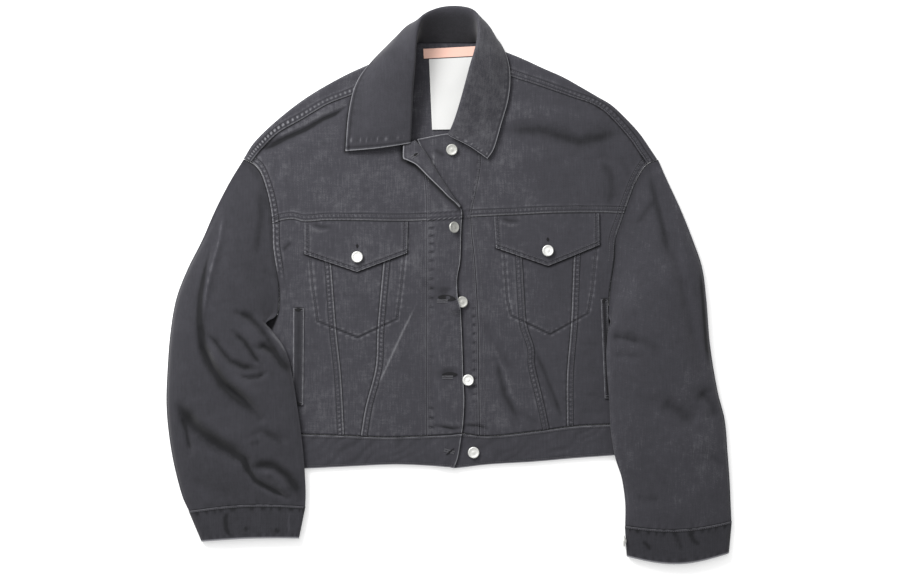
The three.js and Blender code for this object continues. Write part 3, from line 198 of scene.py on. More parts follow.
SLEEVE_FOLDS = {
    "right": [
        ([(-306, 107), (-311, 63), (-320, 29), (-328, -5), (-332, -50)], 5, 2.2),
        ([(-300, 100), (-306, 60), (-315, 12), (-322, -25)], 9, -1.6),
        ([(-334.6, -60), (-331, -84), (-318, -111), (-303, -133), (-276, -154), (-254, -179)], 6, -8),
        ([(-322, -70), (-312, -96), (-296, -118), (-270, -140), (-248, -160)], 10, 4.5),
        ([(-328, -63), (-314, -75.5), (-304.6, -89), (-294, -101), (-277, -109.5), (-254, -111)], 4.5, -4),
        ([(-291, -62), (-277, -73), (-268, -86.5), (-261, -97), (-251.6, -104)], 4.5, -3.6),
        ([(-283, -119), (-270.6, -123), (-257, -121.7), (-246, -116)], 4, -3),
        ([(-261, -82), (-250, -81), (-237, -89), (-226, -103), (-219, -108)], 6, -5.5),
        ([(-284, -36), (-268, -43), (-254, -56.4), (-243, -73)], 6, -4),
        ([(-250, -54), (-230, -75.5), (-219, -93)], 6, 2.2),
        ([(-271, -205), (-254, -196.5), (-216, -209)], 5, -2.2),
        ([(-362, -165), (-345, -188), (-325, -205), (-309, -216), (-291, -226), (-273, -237)], 10, -8),
        ([(-273, -236), (-270.6, -250), (-261, -263), (-250, -270), (-237, -277), (-220, -286)], 5, -5),
        ([(-264, -244), (-240, -243), (-223, -256), (-207, -270), (-201, -290)], 7, -4.5),
        ([(-254, -251), (-237, -252), (-226, -263), (-219, -279.5)], 6, 3.5),
        ([(-350, -170), (-318, -196), (-280, -214)], 10, 2.4),
        ([(-363, -175), (-356, -195), (-351, -216), (-349.5, -225)], 4, -2.6),
        ([(-247, 33), (-242, 24), (-237, 16)], 4, -1.8),
        ([(-258, 138), (-254, 97), (-260, 56), (-262, 36)], 9, -1.8),
        ([(-345, -262), (-318, -276), (-290, -284)], 9, -1.8),
    ],
    "left": [
        ([(284, 168), (292, 110), (303, 56), (318, -5), (330, -59), (344, -114)], 8, -3.2),
        ([(271, 158), (280, 118), (290, 77), (298, 36)], 8, -2.2),
        ([(285, 131), (293, 100), (301, 66)], 6, 1),
        ([(280, 120), (266.6, 101), (253, 83.6)], 6, -1.8),
        ([(336, -142), (348, -150), (356, -160), (362, -181)], 9, -3),
        ([(287, -154), (310, -168), (341, -182)], 14, -4),
        ([(328, -154), (342, -146), (358, -134)], 8, -1.2),
        ([(351, -229), (364, -235), (375, -243)], 8, -1.2),
        ([(219, -66), (240, -70), (260, -76)], 6, -3),
        ([(222, -93), (240, -95), (260, -97)], 5, -2.4),
        ([(253, -284), (270, -287), (287, -288)], 9, -1.2),
        ([(240, 62), (250, 20), (252, -30)], 10, 1.8),
        ([(300, -200), (325, -214), (350, -216)], 12, 1.8),
        ([(244, -205), (262, -225), (270, -250)], 10, -1.6),
    ],
}
# Fine lines: pale ones are wear and painted highlight on ridges, dark ones are painted shade in the bottom of
# creases: places, half width, amount
BODY_LINES = [
    ([(-43.5, -22), (-66, -68), (-87, -114), (-105, -148)], 1.1, 0.6),
    ([(20, -188), (38, -189), (55, -193)], 2, -0.9),
    ([(-24, -187), (-6, -190), (14, -196)], 1.8, -0.7),
    ([(-12, -190), (2, -192), (17, -193)], 1.8, -0.5),
    ([(-40, 8), (-20, -2), (8, -6)], 4, -0.35),
    ([(-12, -216), (-2, -224), (6, -234)], 3, -0.5),
    ([(-135.5, 247), (-154.6, 234.6), (-170.4, 227.8), (-194, 214), (-221, 202), (-262, 180)], (2.2, 4.5), -1.5),
    ([(-128, 252), (-165, 236), (-205, 214), (-240, 200)], 3.5, 0.25),
    ([(69, 213), (124, 213), (178, 197), (243, 213)], 7, -0.55),
    ([(208, 172), (219, 150), (221, 128), (214, 106)], 6, -0.5),
    ([(-226, 48), (-217, 57.5), (-212, 57.5)], 2.5, -0.6),
    ([(-20, 187), (-13, 181.5), (-3.7, 177.5)], 2.6, -0.7),
    ([(-21, 184), (-21, 161)], 0.9, 0.6),
    ([(65, -100), (71, -125), (76, -148), (97, -186)], 4, -0.6),
    ([(117, -86), (128, -112), (137, -134), (155, -182)], 3, -0.5),
    ([(56, -73), (70, -105), (86, -148), (100, -165)], 3, 0.1),
]
# Fine lines of the same kinds on the sleeves and cuffs: pale wear and painted highlight, dark painted shade
SLEEVE_LINES = {
    "right": [
        ([(-306, 107), (-311, 63), (-320, 29), (-328, -5), (-332, -50)], 2, 0.55),
        ([(-322, 60), (-330, 20), (-335.5, -15), (-336.5, -48), (-332, -82), (-325, -100), (-314, -116),
          (-303, -133), (-290, -146), (-276, -158), (-262, -172), (-248, -190)], (1.6, 9), -1.25),
        ([(-328, -63), (-314, -75.5), (-304.6, -89), (-294, -101), (-277, -109.5), (-254, -111)], (3, 4.5), -0.7),
        ([(-291, -62), (-277, -73), (-268, -86.5), (-261, -97), (-249, -108)], (4, 3), -0.8),
        ([(-283, -119), (-270.6, -123), (-257, -121.7), (-246, -116)], 2.4, -0.7),
        ([(-264, -84), (-250, -81), (-237, -89), (-226, -103), (-212, -118)], (3, 6.5), -0.95),
        ([(-290, -32), (-268, -43), (-254, -56.4), (-238, -80), (-228, -98)], 4.5, -0.7),
        ([(-250, -54), (-230, -75.5), (-219, -93)], 2.4, 0.5),
        ([(-258, 138), (-254.3, 97), (-260, 56), (-262.5, 36)], 5, -0.45),
        ([(-372, -150), (-362, -165), (-345, -186), (-325, -203), (-309, -214), (-291, -225), (-268, -242)],
         9, -0.75),
        ([(-363, -175), (-356, -195), (-351, -216), (-349.5, -225)], 2.6, -0.7),
        ([(-296, -222), (-279, -232), (-272, -248), (-261, -263), (-250, -270), (-237, -277), (-214, -288)],
         (4.5, 1.8), -1.3),
        ([(-278, -246), (-266, -267), (-252, -276), (-232, -286)], 2, 0.2),
        ([(-272, -246), (-254, -240), (-235, -243), (-218, -256), (-206, -274), (-200, -292)], 6.5, -0.85),
        ([(-258, -250), (-237, -252), (-226, -263), (-216, -283)], 3, 0.2),
        ([(-270, -213), (-254, -209)], 4, -0.4),
        ([(-250, -195), (-223, -213)], 4, -0.4),
    ],
    "left": [
        ([(271, 158), (280, 118), (290, 77), (298, 36)], 4.5, -0.65),
        ([(283, 131), (291, 100), (298, 70)], 2.2, 0.15),
        ([(280, 120), (266.6, 101), (253, 83.6)], 4, -0.45),
        ([(340, 25), (343, -10), (346, -50), (351, -110)], 2.6, -1.4),
        ([(346.5, 8), (350, -40), (354, -84)], 2.4, 0.35),
        ([(232, -60), (260, -72), (287, -86)], 6, -0.35),
        ([(328, -154), (342, -146), (358, -134)], 5, -0.35),
        ([(287, -154), (310, -168), (328, -182)], 8, -0.45),
        ([(336, -142), (348, -150), (356, -160), (362, -181)], 5, -0.4),
        ([(351, -229), (364, -235), (375, -243)], 4, -0.3),
        ([(253, -284), (270, -287), (287, -288)], 4.5, -0.25),
        ([(219, -66), (240, -70), (260, -76)], 3, -0.5),
    ],
}
CUFF_LINES = {
    "right": [
        ([(-299, -304), (-303, -315), (-302, -328), (-295, -341)], 2.6, -0.9),
        ([(-217, -300), (-217, -338)], 1.2, 0.6),
        ([(-236, -328), (-230, -334)], 3, -0.6),
        ([(-277, -326), (-272, -331)], 3, -0.6),
    ],
    "left": [
        ([(324, -331), (332, -344), (341, -352)], 3, -0.7),
        ([(306, -334), (312, -348), (316, -358)], 3, -0.5),
        ([(262, -344), (270, -352), (273, -359)], 2.5, -0.7),
    ],
}
FLAPS = {
    "right": {"left": (-195.8, 44.2), "point": (-125, 20), "right": (-57, 45.6), "top": (-195.8, -56)},
    "left": {"left": (64, 52.4), "point": (134.6, 28), "right": (204, 56.4), "top": (61.2, 203.5)},
}
BAGS = {
    "right": [(-190.5, 62), (-185, 0.7), (-178.2, -47), (-124, -69), (-70.7, -44), (-65.3, -6), (-58.5, 62)],
    "left": [(73.4, 62), (78.9, -15.6), (84.3, -39), (137.4, -64.6), (189, -36), (194.5, -3.4), (201, 62)],
}
WELTS = {"right": ((-211, -28), (-212, -162), 14), "left": ((206, -16), (211.5, -153), 9)}
NECK_LABEL = [(-34.2, 309.6), (34, 313.2), (36, 326.6), (-35, 323)]
CARE_LABEL = [(-23, 213), (36, 214), (33.6, 312), (-27.2, 309)]
BUTTONHOLES = [(-6.8, -19.7, 0), (0.5, -123, 0), (2.5, -224, -16)]
CORNER_BUTTONHOLE = (-45, 178.8, 35)

low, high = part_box("button_front_1")
shift = np.array([(low[0] + high[0]) / 2 / MM - BUTTON_ONE[0],
                  (low[1] + high[1]) / 2 / MM - BUTTON_ONE[1], 0.0])


# Curves and layouts

def lerp(a, b, t):
    return a + (b - a) * t


def smooth(start, end, at):
    t = np.clip((at - start) / (end - start), 0, 1)
    return t * t * (3 - 2 * t)


def bell(at, centre, width):
    return np.exp(-(((at - centre) / width) ** 2))


def value_at(rows, at):
    """A smooth value through rows of (place, value)."""
    xs = np.array([row[0] for row in rows], float)
    ys = np.array([row[1] for row in rows], float)
    at = np.clip(at, xs[0], xs[-1])
    k = np.clip(np.searchsorted(xs, at, side="right") - 1, 0, len(xs) - 2)
    before = np.maximum(np.arange(len(xs)) - 1, 0)
    after = np.minimum(np.arange(len(xs)) + 1, len(xs) - 1)
    slope = (ys[after] - ys[before]) / (xs[after] - xs[before])
    span = xs[k + 1] - xs[k]
    t = (at - xs[k]) / span
    rise = ys[k + 1] - ys[k]
    a = slope[k] * span
    b = slope[k + 1] * span
    return ys[k] + t * (a + t * (3 * rise - 2 * a - b + t * (a + b - 2 * rise)))


def column(rows, number):
    """One column of a table of steps, ready for value_at."""
    return [(step, row[number]) for step, row in enumerate(rows)]


def across_seam(rows, start, end):
    def place(t):
        x = lerp(start, end, np.asarray(t, float))
        return np.stack([x, value_at(rows, x)], axis=-1)
    return place


def down_seam(rows, start, end):
    def place(t):
        y = lerp(start, end, np.asarray(t, float))
        return np.stack([value_at(rows, y), y], axis=-1)
    return place


def polyline(places):
    knots = np.array(places, float)
    reach = np.concatenate([[0], np.cumsum(np.linalg.norm(np.diff(knots, axis=0), axis=1))])
    reach /= reach[-1]

    def place(t):
        return np.stack([np.interp(t, reach, knots[:, axis]) for axis in range(knots.shape[1])], axis=-1)
    return place


def rounded(places, samples=14):
    """A smooth line through places."""
    knots = np.array(places, float)
    steps = [(k, 0) for k in range(len(knots))]
    t = np.linspace(0, len(steps) - 1, samples * len(steps))
    axes = [value_at(list(enumerate(knots[:, axis])), t) for axis in range(knots.shape[1])]
    return polyline(np.stack(axes, axis=-1))


def meeting(down, across):
    """Height at which a seam that runs down meets one that runs across."""
    y = across[0][1]
    for _ in range(12):
        y = float(value_at(across, value_at(down, y)))
    return y


def between(bottom, top, left, right):
    """Layout of a piece between four edges."""
    def plain(s, t):
        s, t = (np.asarray(v, float)[..., None] for v in (s, t))
        sides = (1 - t) * bottom(s[..., 0]) + t * top(s[..., 0])
        sides = sides + (1 - s) * left(t[..., 0]) + s * right(t[..., 0])
        corners = (1 - s) * (1 - t) * bottom(0.0) + s * (1 - t) * bottom(1.0)
        return sides - corners - (1 - s) * t * top(0.0) - s * t * top(1.0)

    def drawn(s, t):
        wide = np.linalg.norm(left(t) - right(t), axis=-1)
        tall = np.linalg.norm(bottom(s) - top(s), axis=-1)
        return plain(s + SEAM * (1 - 2 * s) / wide, t + SEAM * (1 - 2 * t) / tall)
    drawn.wide = lambda t: np.linalg.norm(left(t) - right(t), axis=-1)
    drawn.tall = lambda s: np.linalg.norm(bottom(s) - top(s), axis=-1)
    return drawn


def distance_to(places, x, y):
    """Distance from each point to a line of places, and the reach along the line."""
    best = np.full(np.shape(x), 1e9)
    along = np.zeros(np.shape(x))
    reach = 0.0
    for (ax, ay), (bx, by) in zip(places, places[1:]):
        dx, dy = bx - ax, by - ay
        length = math.hypot(dx, dy)
        t = np.clip(((x - ax) * dx + (y - ay) * dy) / length ** 2, 0, 1)
        d = np.hypot(x - ax - t * dx, y - ay - t * dy)
        along = np.where(d < best, reach + t * length, along)
        best = np.minimum(best, d)
        reach += length
    return best, along, reach


def relief(folds, x, y):
    """Height of the folds. Each one fades towards its ends, and is uneven along its length."""
    total = np.zeros(np.shape(x))
    for number, (places, width, height) in enumerate(folds):
        d, along, length = distance_to(places, x, y)
        fade = smooth(0, 0.22, along / length) * (1 - smooth(0.8, 1, along / length))
        uneven = 1 + 0.2 * np.sin(along / 9 + number * 1.7)
        total += height * uneven * (0.35 + 0.65 * fade) * np.exp(-((d / (width * (0.85 + 0.15 * fade))) ** 2))
    return total


def noise(x, y, scale, seed):
    """Smooth seeded noise from about -1 to 1."""
    table = np.random.default_rng(seed).uniform(-1, 1, (64, 64))
    u, v = np.asarray(x) / scale + 13.7, np.asarray(y) / scale + 29.3
    i, j = np.floor(u).astype(int), np.floor(v).astype(int)
    fu, fv = u - i, v - j
    fu, fv = fu * fu * (3 - 2 * fu), fv * fv * (3 - 2 * fv)

    def pick(a, b):
        return table[(i + a) % 64, (j + b) % 64]
    return lerp(lerp(pick(0, 0), pick(1, 0), fu), lerp(pick(0, 1), pick(1, 1), fu), fv)


def cloth_grain(x, y):
    return 0.22 * noise(x, y, 26, 3) + 0.12 * noise(x, y, 9, 5)


# Layers of the body

def front_under(x, y):
    """Underside of the fronts, without the lap."""
    armholes = np.exp(-(((x + 240) / 40) ** 2) - (((y - 60) / 70) ** 2))
    armholes = armholes + np.exp(-(((x - 230) / 40) ** 2) - (((y - 70) / 70) ** 2))
    side = np.minimum(x - value_at(SIDE_RIGHT, y), value_at(SIDE_LEFT, y) - x)
    drop = SIDE_DROP * (1 - smooth(0, 16, side)) * (1 - smooth(-40, 10, y))
    folds = relief(BODY_FOLDS, x, y) + cloth_grain(x, y)
    return np.maximum(FRONT_REST + ARMHOLE_RISE * armholes - drop + folds, FRONT_LOWEST)


THIRD_BUTTON = (17.7, -21)


def lapped_under(x, y):
    """Underside of the right front, which lies on the left one."""
    edge = value_at(UNDER_EDGE, y)
    off_button = np.hypot(x - THIRD_BUTTON[0] + 8, (y - THIRD_BUTTON[1]) * 0.8)
    lap = LAP_RISE * smooth(edge - 22, edge - 3, x)
    return front_under(x, y) + lap + (BUTTON_HEIGHT + CLEAR) * (1 - smooth(6, 17, off_button))


def fine_lines(lines, x, y):
    pale = np.zeros(np.shape(x))
    for places, widths, amount in lines:
        d, along, length = distance_to(places, x, y)
        ends = smooth(0, 0.2, along / length) * (1 - smooth(0.75, 1, along / length))
        width = lerp(*widths, along / length) if isinstance(widths, tuple) else widths
        pale = pale + amount * (0.05 + 0.95 * ends) * np.exp(-((d / (width * (0.5 + 0.5 * ends))) ** 2))
    return pale


def wash_and_shade(x, y, folds):
    """How pale the cloth is: the wash's own mottling, with painted highlight on the ridges and painted shade in the
    troughs of the folds.
    """
    pale = 0.1 * relief(folds, x, y)
    if folds is BODY_FOLDS:
        pale = pale + fine_lines(BODY_LINES, x, y)
        # Painted shade: darker towards the wearer's left, where the light falls off.
        pale = pale - 0.22 * smooth(40, 230, x)
    return pale + 0.05 * noise(x, y, 34, 11) + 0.03 * noise(x, y, 12, 12)


# Edges: each gives the height and the paleness at a distance from it, and along it

def lapped(width=8.5, height=0.55, rope=0.32, pitch=7.4, seed=1, pale=0.85, blobs=0.5):
    """An edge that is turned in and sewn down on its neighbour, and puckers along its stitches."""
    def edge(d, a):
        inside = smooth(-0.4, 0.5, d) * (1 - smooth(width - 1, width + 0.8, d))
        wave = np.sin(2 * math.pi * a / pitch + 1.3 * np.sin(a / 21 + seed) + d * 0.28)
        wave = wave * (0.65 + 0.35 * np.sin(a / 33 + 2 * seed))
        lift = inside * (height + rope * wave * bell(d, width * 0.55, width * 0.5))
        # The bright rim and the blobs of roping are wear. The dark lines along the fold and in the stitch groove are
        # painted shade.
        wear_and_shade = pale * bell(d, 0.55, 0.7) * (0.8 + 0.25 * wave) - 0.65 * bell(d, width * 0.3, 0.9)
        wear_and_shade = wear_and_shade + blobs * (wave + 0.15) * bell(d, width * 0.58, width * 0.25)
        wear_and_shade = wear_and_shade - 0.85 * bell(d, width - 0.6, 0.85) + 0.14 * bell(d, width + 1.6, 1.6)
        return lift, wear_and_shade
    return edge


def tucked(d, a):
    """An edge that runs under its neighbour, with a line of painted shade where it goes under."""
    wave = np.sin(a / 1.7 + 1.4 * np.sin(a / 19))
    return -0.35 * bell(d, 0, 2.2), -1.6 * bell(d, 0, 1.3) + 0.12 * wave * bell(d, 2.5, 2.5)


def free_edge(d, a):
    wave = np.sin(a / 1.9 + 1.2 * np.sin(a / 23))
    # A bright rim of edge wear, and a line of painted shade in the stitch groove just inside it.
    return -0.3 * bell(d, 0, 0.8), (1.1 + 0.2 * wave) * bell(d, 0.2, 0.75) - 0.35 * bell(d, 2.4, 1)


def flush(d, a):
    """A seam that lies flat, with hardly a mark."""
    return -0.15 * bell(d, 0, 1.2), 0.3 * bell(d, 1.2, 0.8) - 0.35 * bell(d, 0, 0.7)


def fading(style, start, end):
    """A style that comes in along the edge, and is only a dark line before that."""
    def edge(d, a):
        lift, pale = style(d, a)
        share = smooth(start, end, a)
        return lift * (0.3 + 0.7 * share), pale * share - 1.3 * bell(d, 0, 1.3) * (1 - share)
    return edge


def puckered(start, end, pitch, amount, seed):
    """Short creases square to an edge, along the row of stitches that draws them in, with painted shade in each
    crease.
    """
    def edge(d, a):
        inside = smooth(start - 1.5, start + 1.5, d) * (1 - smooth(end - 3, end + 2, d))
        wave = np.sin(2 * math.pi * a / pitch + 1.6 * np.sin(a / 27 + seed) + 0.1 * d)
        strong = np.clip(0.45 + 0.5 * np.sin(a / 41 + seed) + 0.35 * np.sin(a / 13 + 3 * seed), 0, 1)
        dashes = np.clip(wave - 0.45, 0, 1) * 1.8
        return -amount * dashes * strong * inside, (0.12 - 1.1 * dashes) * strong * inside
    return edge


def both(*edges):
    def edge(d, a):
        found = [one(d, a) for one in edges]
        return sum(f[0] for f in found), sum(f[1] for f in found)
    return edge


# Cloth

def spread(length, step, fine=(0, 0.5, 1.0, 1.6, 2.3, 3.1, 4.2, 5.4, 6.6, 7.4, 8.1, 8.9, 10.2)):
    """Shares of a length, close together near both ends."""
    near = [place for place in fine if place < length / 2 - 0.6 * step] or [0]
    count = max(1, round((length - 2 * near[-1]) / step))
    middle = np.linspace(near[-1], length - near[-1], count + 1)[1:-1]
    return np.array([*near, *middle, *[length - place for place in reversed(near)]]) / length


def curve_normals(points):
    along = np.gradient(points, axis=0)
    across = np.gradient(points, axis=1)
    normal = np.cross(across, along)
    return normal / np.maximum(np.linalg.norm(normal, axis=-1, keepdims=True), 1e-9)


class Cloth:
    """A sheet given by its middle surface, how pale it is, and its thickness."""

    def __init__(self, middle, pale, thickness, s, t, outward=1):
        self.middle = middle
        self.pale = pale
        self.thickness = thickness
        self.outward = outward
        self.s, self.t = np.meshgrid(s, t)

    def shell(self):
        points = self.middle(self.s, self.t)
        normal = curve_normals(points) * self.thickness / 2
        return points + normal, points - normal, self.pale(self.s, self.t)

    def line(self, s, t, proud=0.0):
        """Points just above the surface, with their normals."""
        s, t = np.broadcast_arrays(np.asarray(s, float), np.asarray(t, float))
        step = 2e-3
        across = self.middle(s + step, t) - self.middle(s - step, t)
        along = self.middle(s, t + step) - self.middle(s, t - step)
        normal = np.cross(across, along) * self.outward
        normal /= np.maximum(np.linalg.norm(normal, axis=-1, keepdims=True), 1e-9)
        return self.middle(s, t) + normal * (self.thickness / 2 + proud), normal


def flat_cloth(layout, sizes, under, thickness, edges, folds=BODY_FOLDS, step=2.1, extra=None):
    """A piece that lies on the body. edges gives a style for each of its sides."""
    def parts(s, t):
        place = layout(s, t)
        wide, tall = layout.wide(t), layout.tall(s)
        lift, pale = 0.0, wash_and_shade(place[..., 0], place[..., 1], folds)
        reach = {"left": (s * wide, t * tall), "right": ((1 - s) * wide, t * tall),
                 "bottom": (t * tall, s * wide), "top": ((1 - t) * tall, s * wide)}
        for side, style in edges.items():
            more, wear_and_shade = style(*reach[side])
            lift, pale = lift + more, pale + wear_and_shade
        if extra:
            more, wear_and_shade = extra(place[..., 0], place[..., 1])
            lift, pale = lift + more, pale + wear_and_shade
        z = under(place[..., 0], place[..., 1]) + thickness / 2 + lift
        return np.concatenate([place, z[..., None]], axis=-1), pale
    return Cloth(lambda s, t: parts(s, t)[0], lambda s, t: parts(s, t)[1], thickness,
                 spread(sizes[0], step), spread(sizes[1], step))


def grid_faces(rows, cols, start, wrap):
    i, j = np.meshgrid(np.arange(rows - 1), np.arange(cols if wrap else cols - 1), indexing="ij")
    after = (j + 1) % cols
    quads = np.stack([i * cols + j, i * cols + after, (i + 1) * cols + after, (i + 1) * cols + j], axis=-1)
    return quads.reshape(-1, 4) + start


def shell_faces(rows, cols, start, wrap=False):
    """Faces of the two sides of a sheet and of its edges."""
    size = rows * cols
    top = grid_faces(rows, cols, start, wrap)
    low_side = grid_faces(rows, cols, start + size, wrap)[:, ::-1]
    loops = [(0, np.arange(cols)), (rows - 1, np.arange(cols)[::-1])]
    rims = []
    for row, order in loops:
        edge = row * cols + order + start
        follow = np.roll(edge, -1) if wrap else edge[1:]
        edge = edge if wrap else edge[:-1]
        rims.append(np.stack([follow, edge, edge + size, follow + size], axis=-1))
    if not wrap:
        for col, order in ((0, np.arange(rows)[::-1]), (cols - 1, np.arange(rows))):
            edge = order * cols + col + start
            rims.append(np.stack([edge[1:], edge[:-1], edge[:-1] + size, edge[1:] + size], axis=-1))
    return np.concatenate([top, low_side, *rims])


def make_mesh(name, points, faces, material, pale=None, sharp=50):
    """A mesh object in metres, riding on the jacket. faces all have the same number of corners."""
    mesh = bpy.data.meshes.new(name)
    corners = faces.shape[1]
    mesh.vertices.add(len(points))
    mesh.vertices.foreach_set("co", ((points + shift) * MM).astype(np.float32).ravel())
    mesh.loops.add(faces.size)
    mesh.loops.foreach_set("vertex_index", faces.astype(np.int32).ravel())
    mesh.polygons.add(len(faces))
    mesh.polygons.foreach_set("loop_start", np.arange(0, faces.size, corners, dtype=np.int32))
    mesh.update(calc_edges=True)
    mesh.validate()
    if pale is not None:
        layer = mesh.attributes.new("pale", "FLOAT", "POINT")
        layer.data.foreach_set("value", pale.astype(np.float32).ravel())
    mesh.shade_smooth()
    mesh.set_sharp_from_angle(angle=math.radians(sharp))
    piece = bpy.data.objects.new(name, mesh)
    piece.data.materials.append(material)
    bpy.context.scene.collection.objects.link(piece)
    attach(piece, "root")
    return piece


def signed_volume(points, faces):
    a, b, c, d = (points[faces[:, k]] for k in range(4))
    return np.einsum("ij,ij->i", a, np.cross(b, c)).sum() + np.einsum("ij,ij->i", a, np.cross(c, d)).sum()


def make_cloth(name, node, sheets, material, wrap=False):
    """One object from one or more sheets of cloth, in place of a solid."""
    points, faces, pale, start = [], [], [], 0
    for sheet in sheets:
        top, bottom, wear_and_shade = sheet.shell()
        rows, cols = wear_and_shade.shape
        both_sides = np.concatenate([top.reshape(-1, 3), bottom.reshape(-1, 3)])
        quads = shell_faces(rows, cols, 0, wrap)
        if signed_volume(both_sides, quads) < 0:
            quads = quads[:, ::-1]
        points.append(both_sides)
        faces.append(quads + start)
        pale.append(np.concatenate([wear_and_shade.ravel(), wear_and_shade.ravel()]))
        start += len(both_sides)
    piece = make_mesh(name, np.concatenate(points), np.concatenate(faces), material, np.concatenate(pale))
    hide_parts(node)
    return piece


# Stitches are short rounded bars, all joined into one mesh for the whole jacket
stitch_rows = []


def sew(cloth, s, t, pitch=STITCH_PITCH, length=0.68, width=0.62):
    """A row of stitches along a line on a sheet, given by its shares s and t."""
    points, normals = cloth.line(s, t, 0.02)
    stitch_rows.append((points, normals, pitch, length, width))


def sew_edges(cloth, layout, side, distances, start=0.0, end=1.0, **style):
    """Rows of stitches at given distances from one side of a flat piece."""
    run = np.linspace(start, end, 240)
    for distance in distances:
        if side in ("left", "right"):
            share = distance / layout.wide(run)
            sew(cloth, share if side == "left" else 1 - share, run, **style)
        else:
            share = distance / layout.tall(run)
            sew(cloth, run, share if side == "bottom" else 1 - share, **style)


def stitches_mesh(rows):
    all_points, all_faces, start = [], [], 0
    box = np.array([(0, 1, 5, 4), (1, 3, 7, 5), (3, 2, 6, 7), (2, 0, 4, 6), (4, 5, 7, 6), (0, 2, 3, 1)])
    for points, normals, pitch, share, width in rows:
        gaps = np.linalg.norm(np.diff(points, axis=0), axis=1)
        reach = np.concatenate([[0], np.cumsum(gaps)])
        count = int(reach[-1] / pitch)
        if count < 1:
            continue
        middles = (np.arange(count) + 0.5) * reach[-1] / count
        half = reach[-1] / count * share / 2

        def at(place, values):
            return np.stack([np.interp(place, reach, values[:, k]) for k in range(3)], axis=-1)
        normal = at(middles, normals)
        ends = [at(middles - half, points), at(middles + half, points)]
        forward = ends[1] - ends[0]
        side = np.cross(forward, normal)
        side /= np.maximum(np.linalg.norm(side, axis=-1, keepdims=True), 1e-9)
        corners = []
        for rise, wide in ((0.0, 0.5), (0.34, 0.3)):
            for offset in (-1, 1):
                for end in ends:
                    corners.append(end + normal * rise + side * offset * wide * width)
        # corner order: low/left/start, low/left/end, low/right/start, low/right/end, then the top
        block = np.stack(corners, axis=1)
        all_points.append(block.reshape(-1, 3))
        base = start + np.arange(count)[:, None, None] * 8
        all_faces.append((box[None] + base).reshape(-1, 4))
        start += count * 8
    return np.concatenate(all_points), np.concatenate(all_faces)


# Materials

def new_material(name):
    material = bpy.data.materials.new(name)
    material.use_nodes = True
    tree = material.node_tree
    tree.nodes.clear()
    output = tree.nodes.new("ShaderNodeOutputMaterial")
    shader = tree.nodes.new("ShaderNodeBsdfPrincipled")
    tree.links.new(shader.outputs["BSDF"], output.inputs["Surface"])
    return material, tree, shader


class Nodes:
    """Short ways to add shader nodes."""

    def __init__(self, tree):
        self.tree = tree
        self.place = tree.nodes.new("ShaderNodeTexCoord").outputs["Object"]

    def link(self, value, socket):
        if hasattr(value, "is_linked"):
            self.tree.links.new(value, socket)
        else:
            socket.default_value = value

    def math(self, kind, a, b=0.0, c=0.0):
        node = self.tree.nodes.new("ShaderNodeMath")
        node.operation = kind
        for value, socket in zip((a, b, c), node.inputs):
            self.link(value, socket)
        return node.outputs[0]

    def mapped(self, scale, turn=0.0):
        node = self.tree.nodes.new("ShaderNodeMapping")
        self.link(self.place, node.inputs["Vector"])
        node.inputs["Rotation"].default_value = (0, 0, turn)
        node.inputs["Scale"].default_value = scale
        return node.outputs[0]

    def noise(self, scale, detail=3.0, rough=0.5, vector=None):
        node = self.tree.nodes.new("ShaderNodeTexNoise")
        self.link(vector or self.place, node.inputs["Vector"])
        node.inputs["Scale"].default_value = scale
        node.inputs["Detail"].default_value = detail
        node.inputs["Roughness"].default_value = rough
        return node.outputs["Fac"]

    def wave(self, pitch_mm, vector, distort=0.0):
        node = self.tree.nodes.new("ShaderNodeTexWave")
        self.link(vector, node.inputs["Vector"])
        node.inputs["Scale"].default_value = math.pi / 10 / (pitch_mm * MM) / math.pi
        node.inputs["Distortion"].default_value = distort
        node.inputs["Detail"].default_value = 1.0
        return node.outputs["Fac"]

    def ramp(self, value, stops):
        node = self.tree.nodes.new("ShaderNodeValToRGB")
        self.link(value, node.inputs["Fac"])
        for extra in range(len(stops) - 2):
            node.color_ramp.elements.new(0.5)
        for element, (place, colour) in zip(node.color_ramp.elements, stops):
            element.position = place
            element.color = (*colour, 1)
        return node.outputs["Color"]

    def bump(self, height, strength, distance, normal=None):
        node = self.tree.nodes.new("ShaderNodeBump")
        node.inputs["Strength"].default_value = strength
        node.inputs["Distance"].default_value = distance
        self.link(height, node.inputs["Height"])
        if normal:
            self.link(normal, node.inputs["Normal"])
        return node.outputs[0]

    def attribute(self, name):
        node = self.tree.nodes.new("ShaderNodeAttribute")
        node.attribute_name = name
        return node.outputs["Fac"]


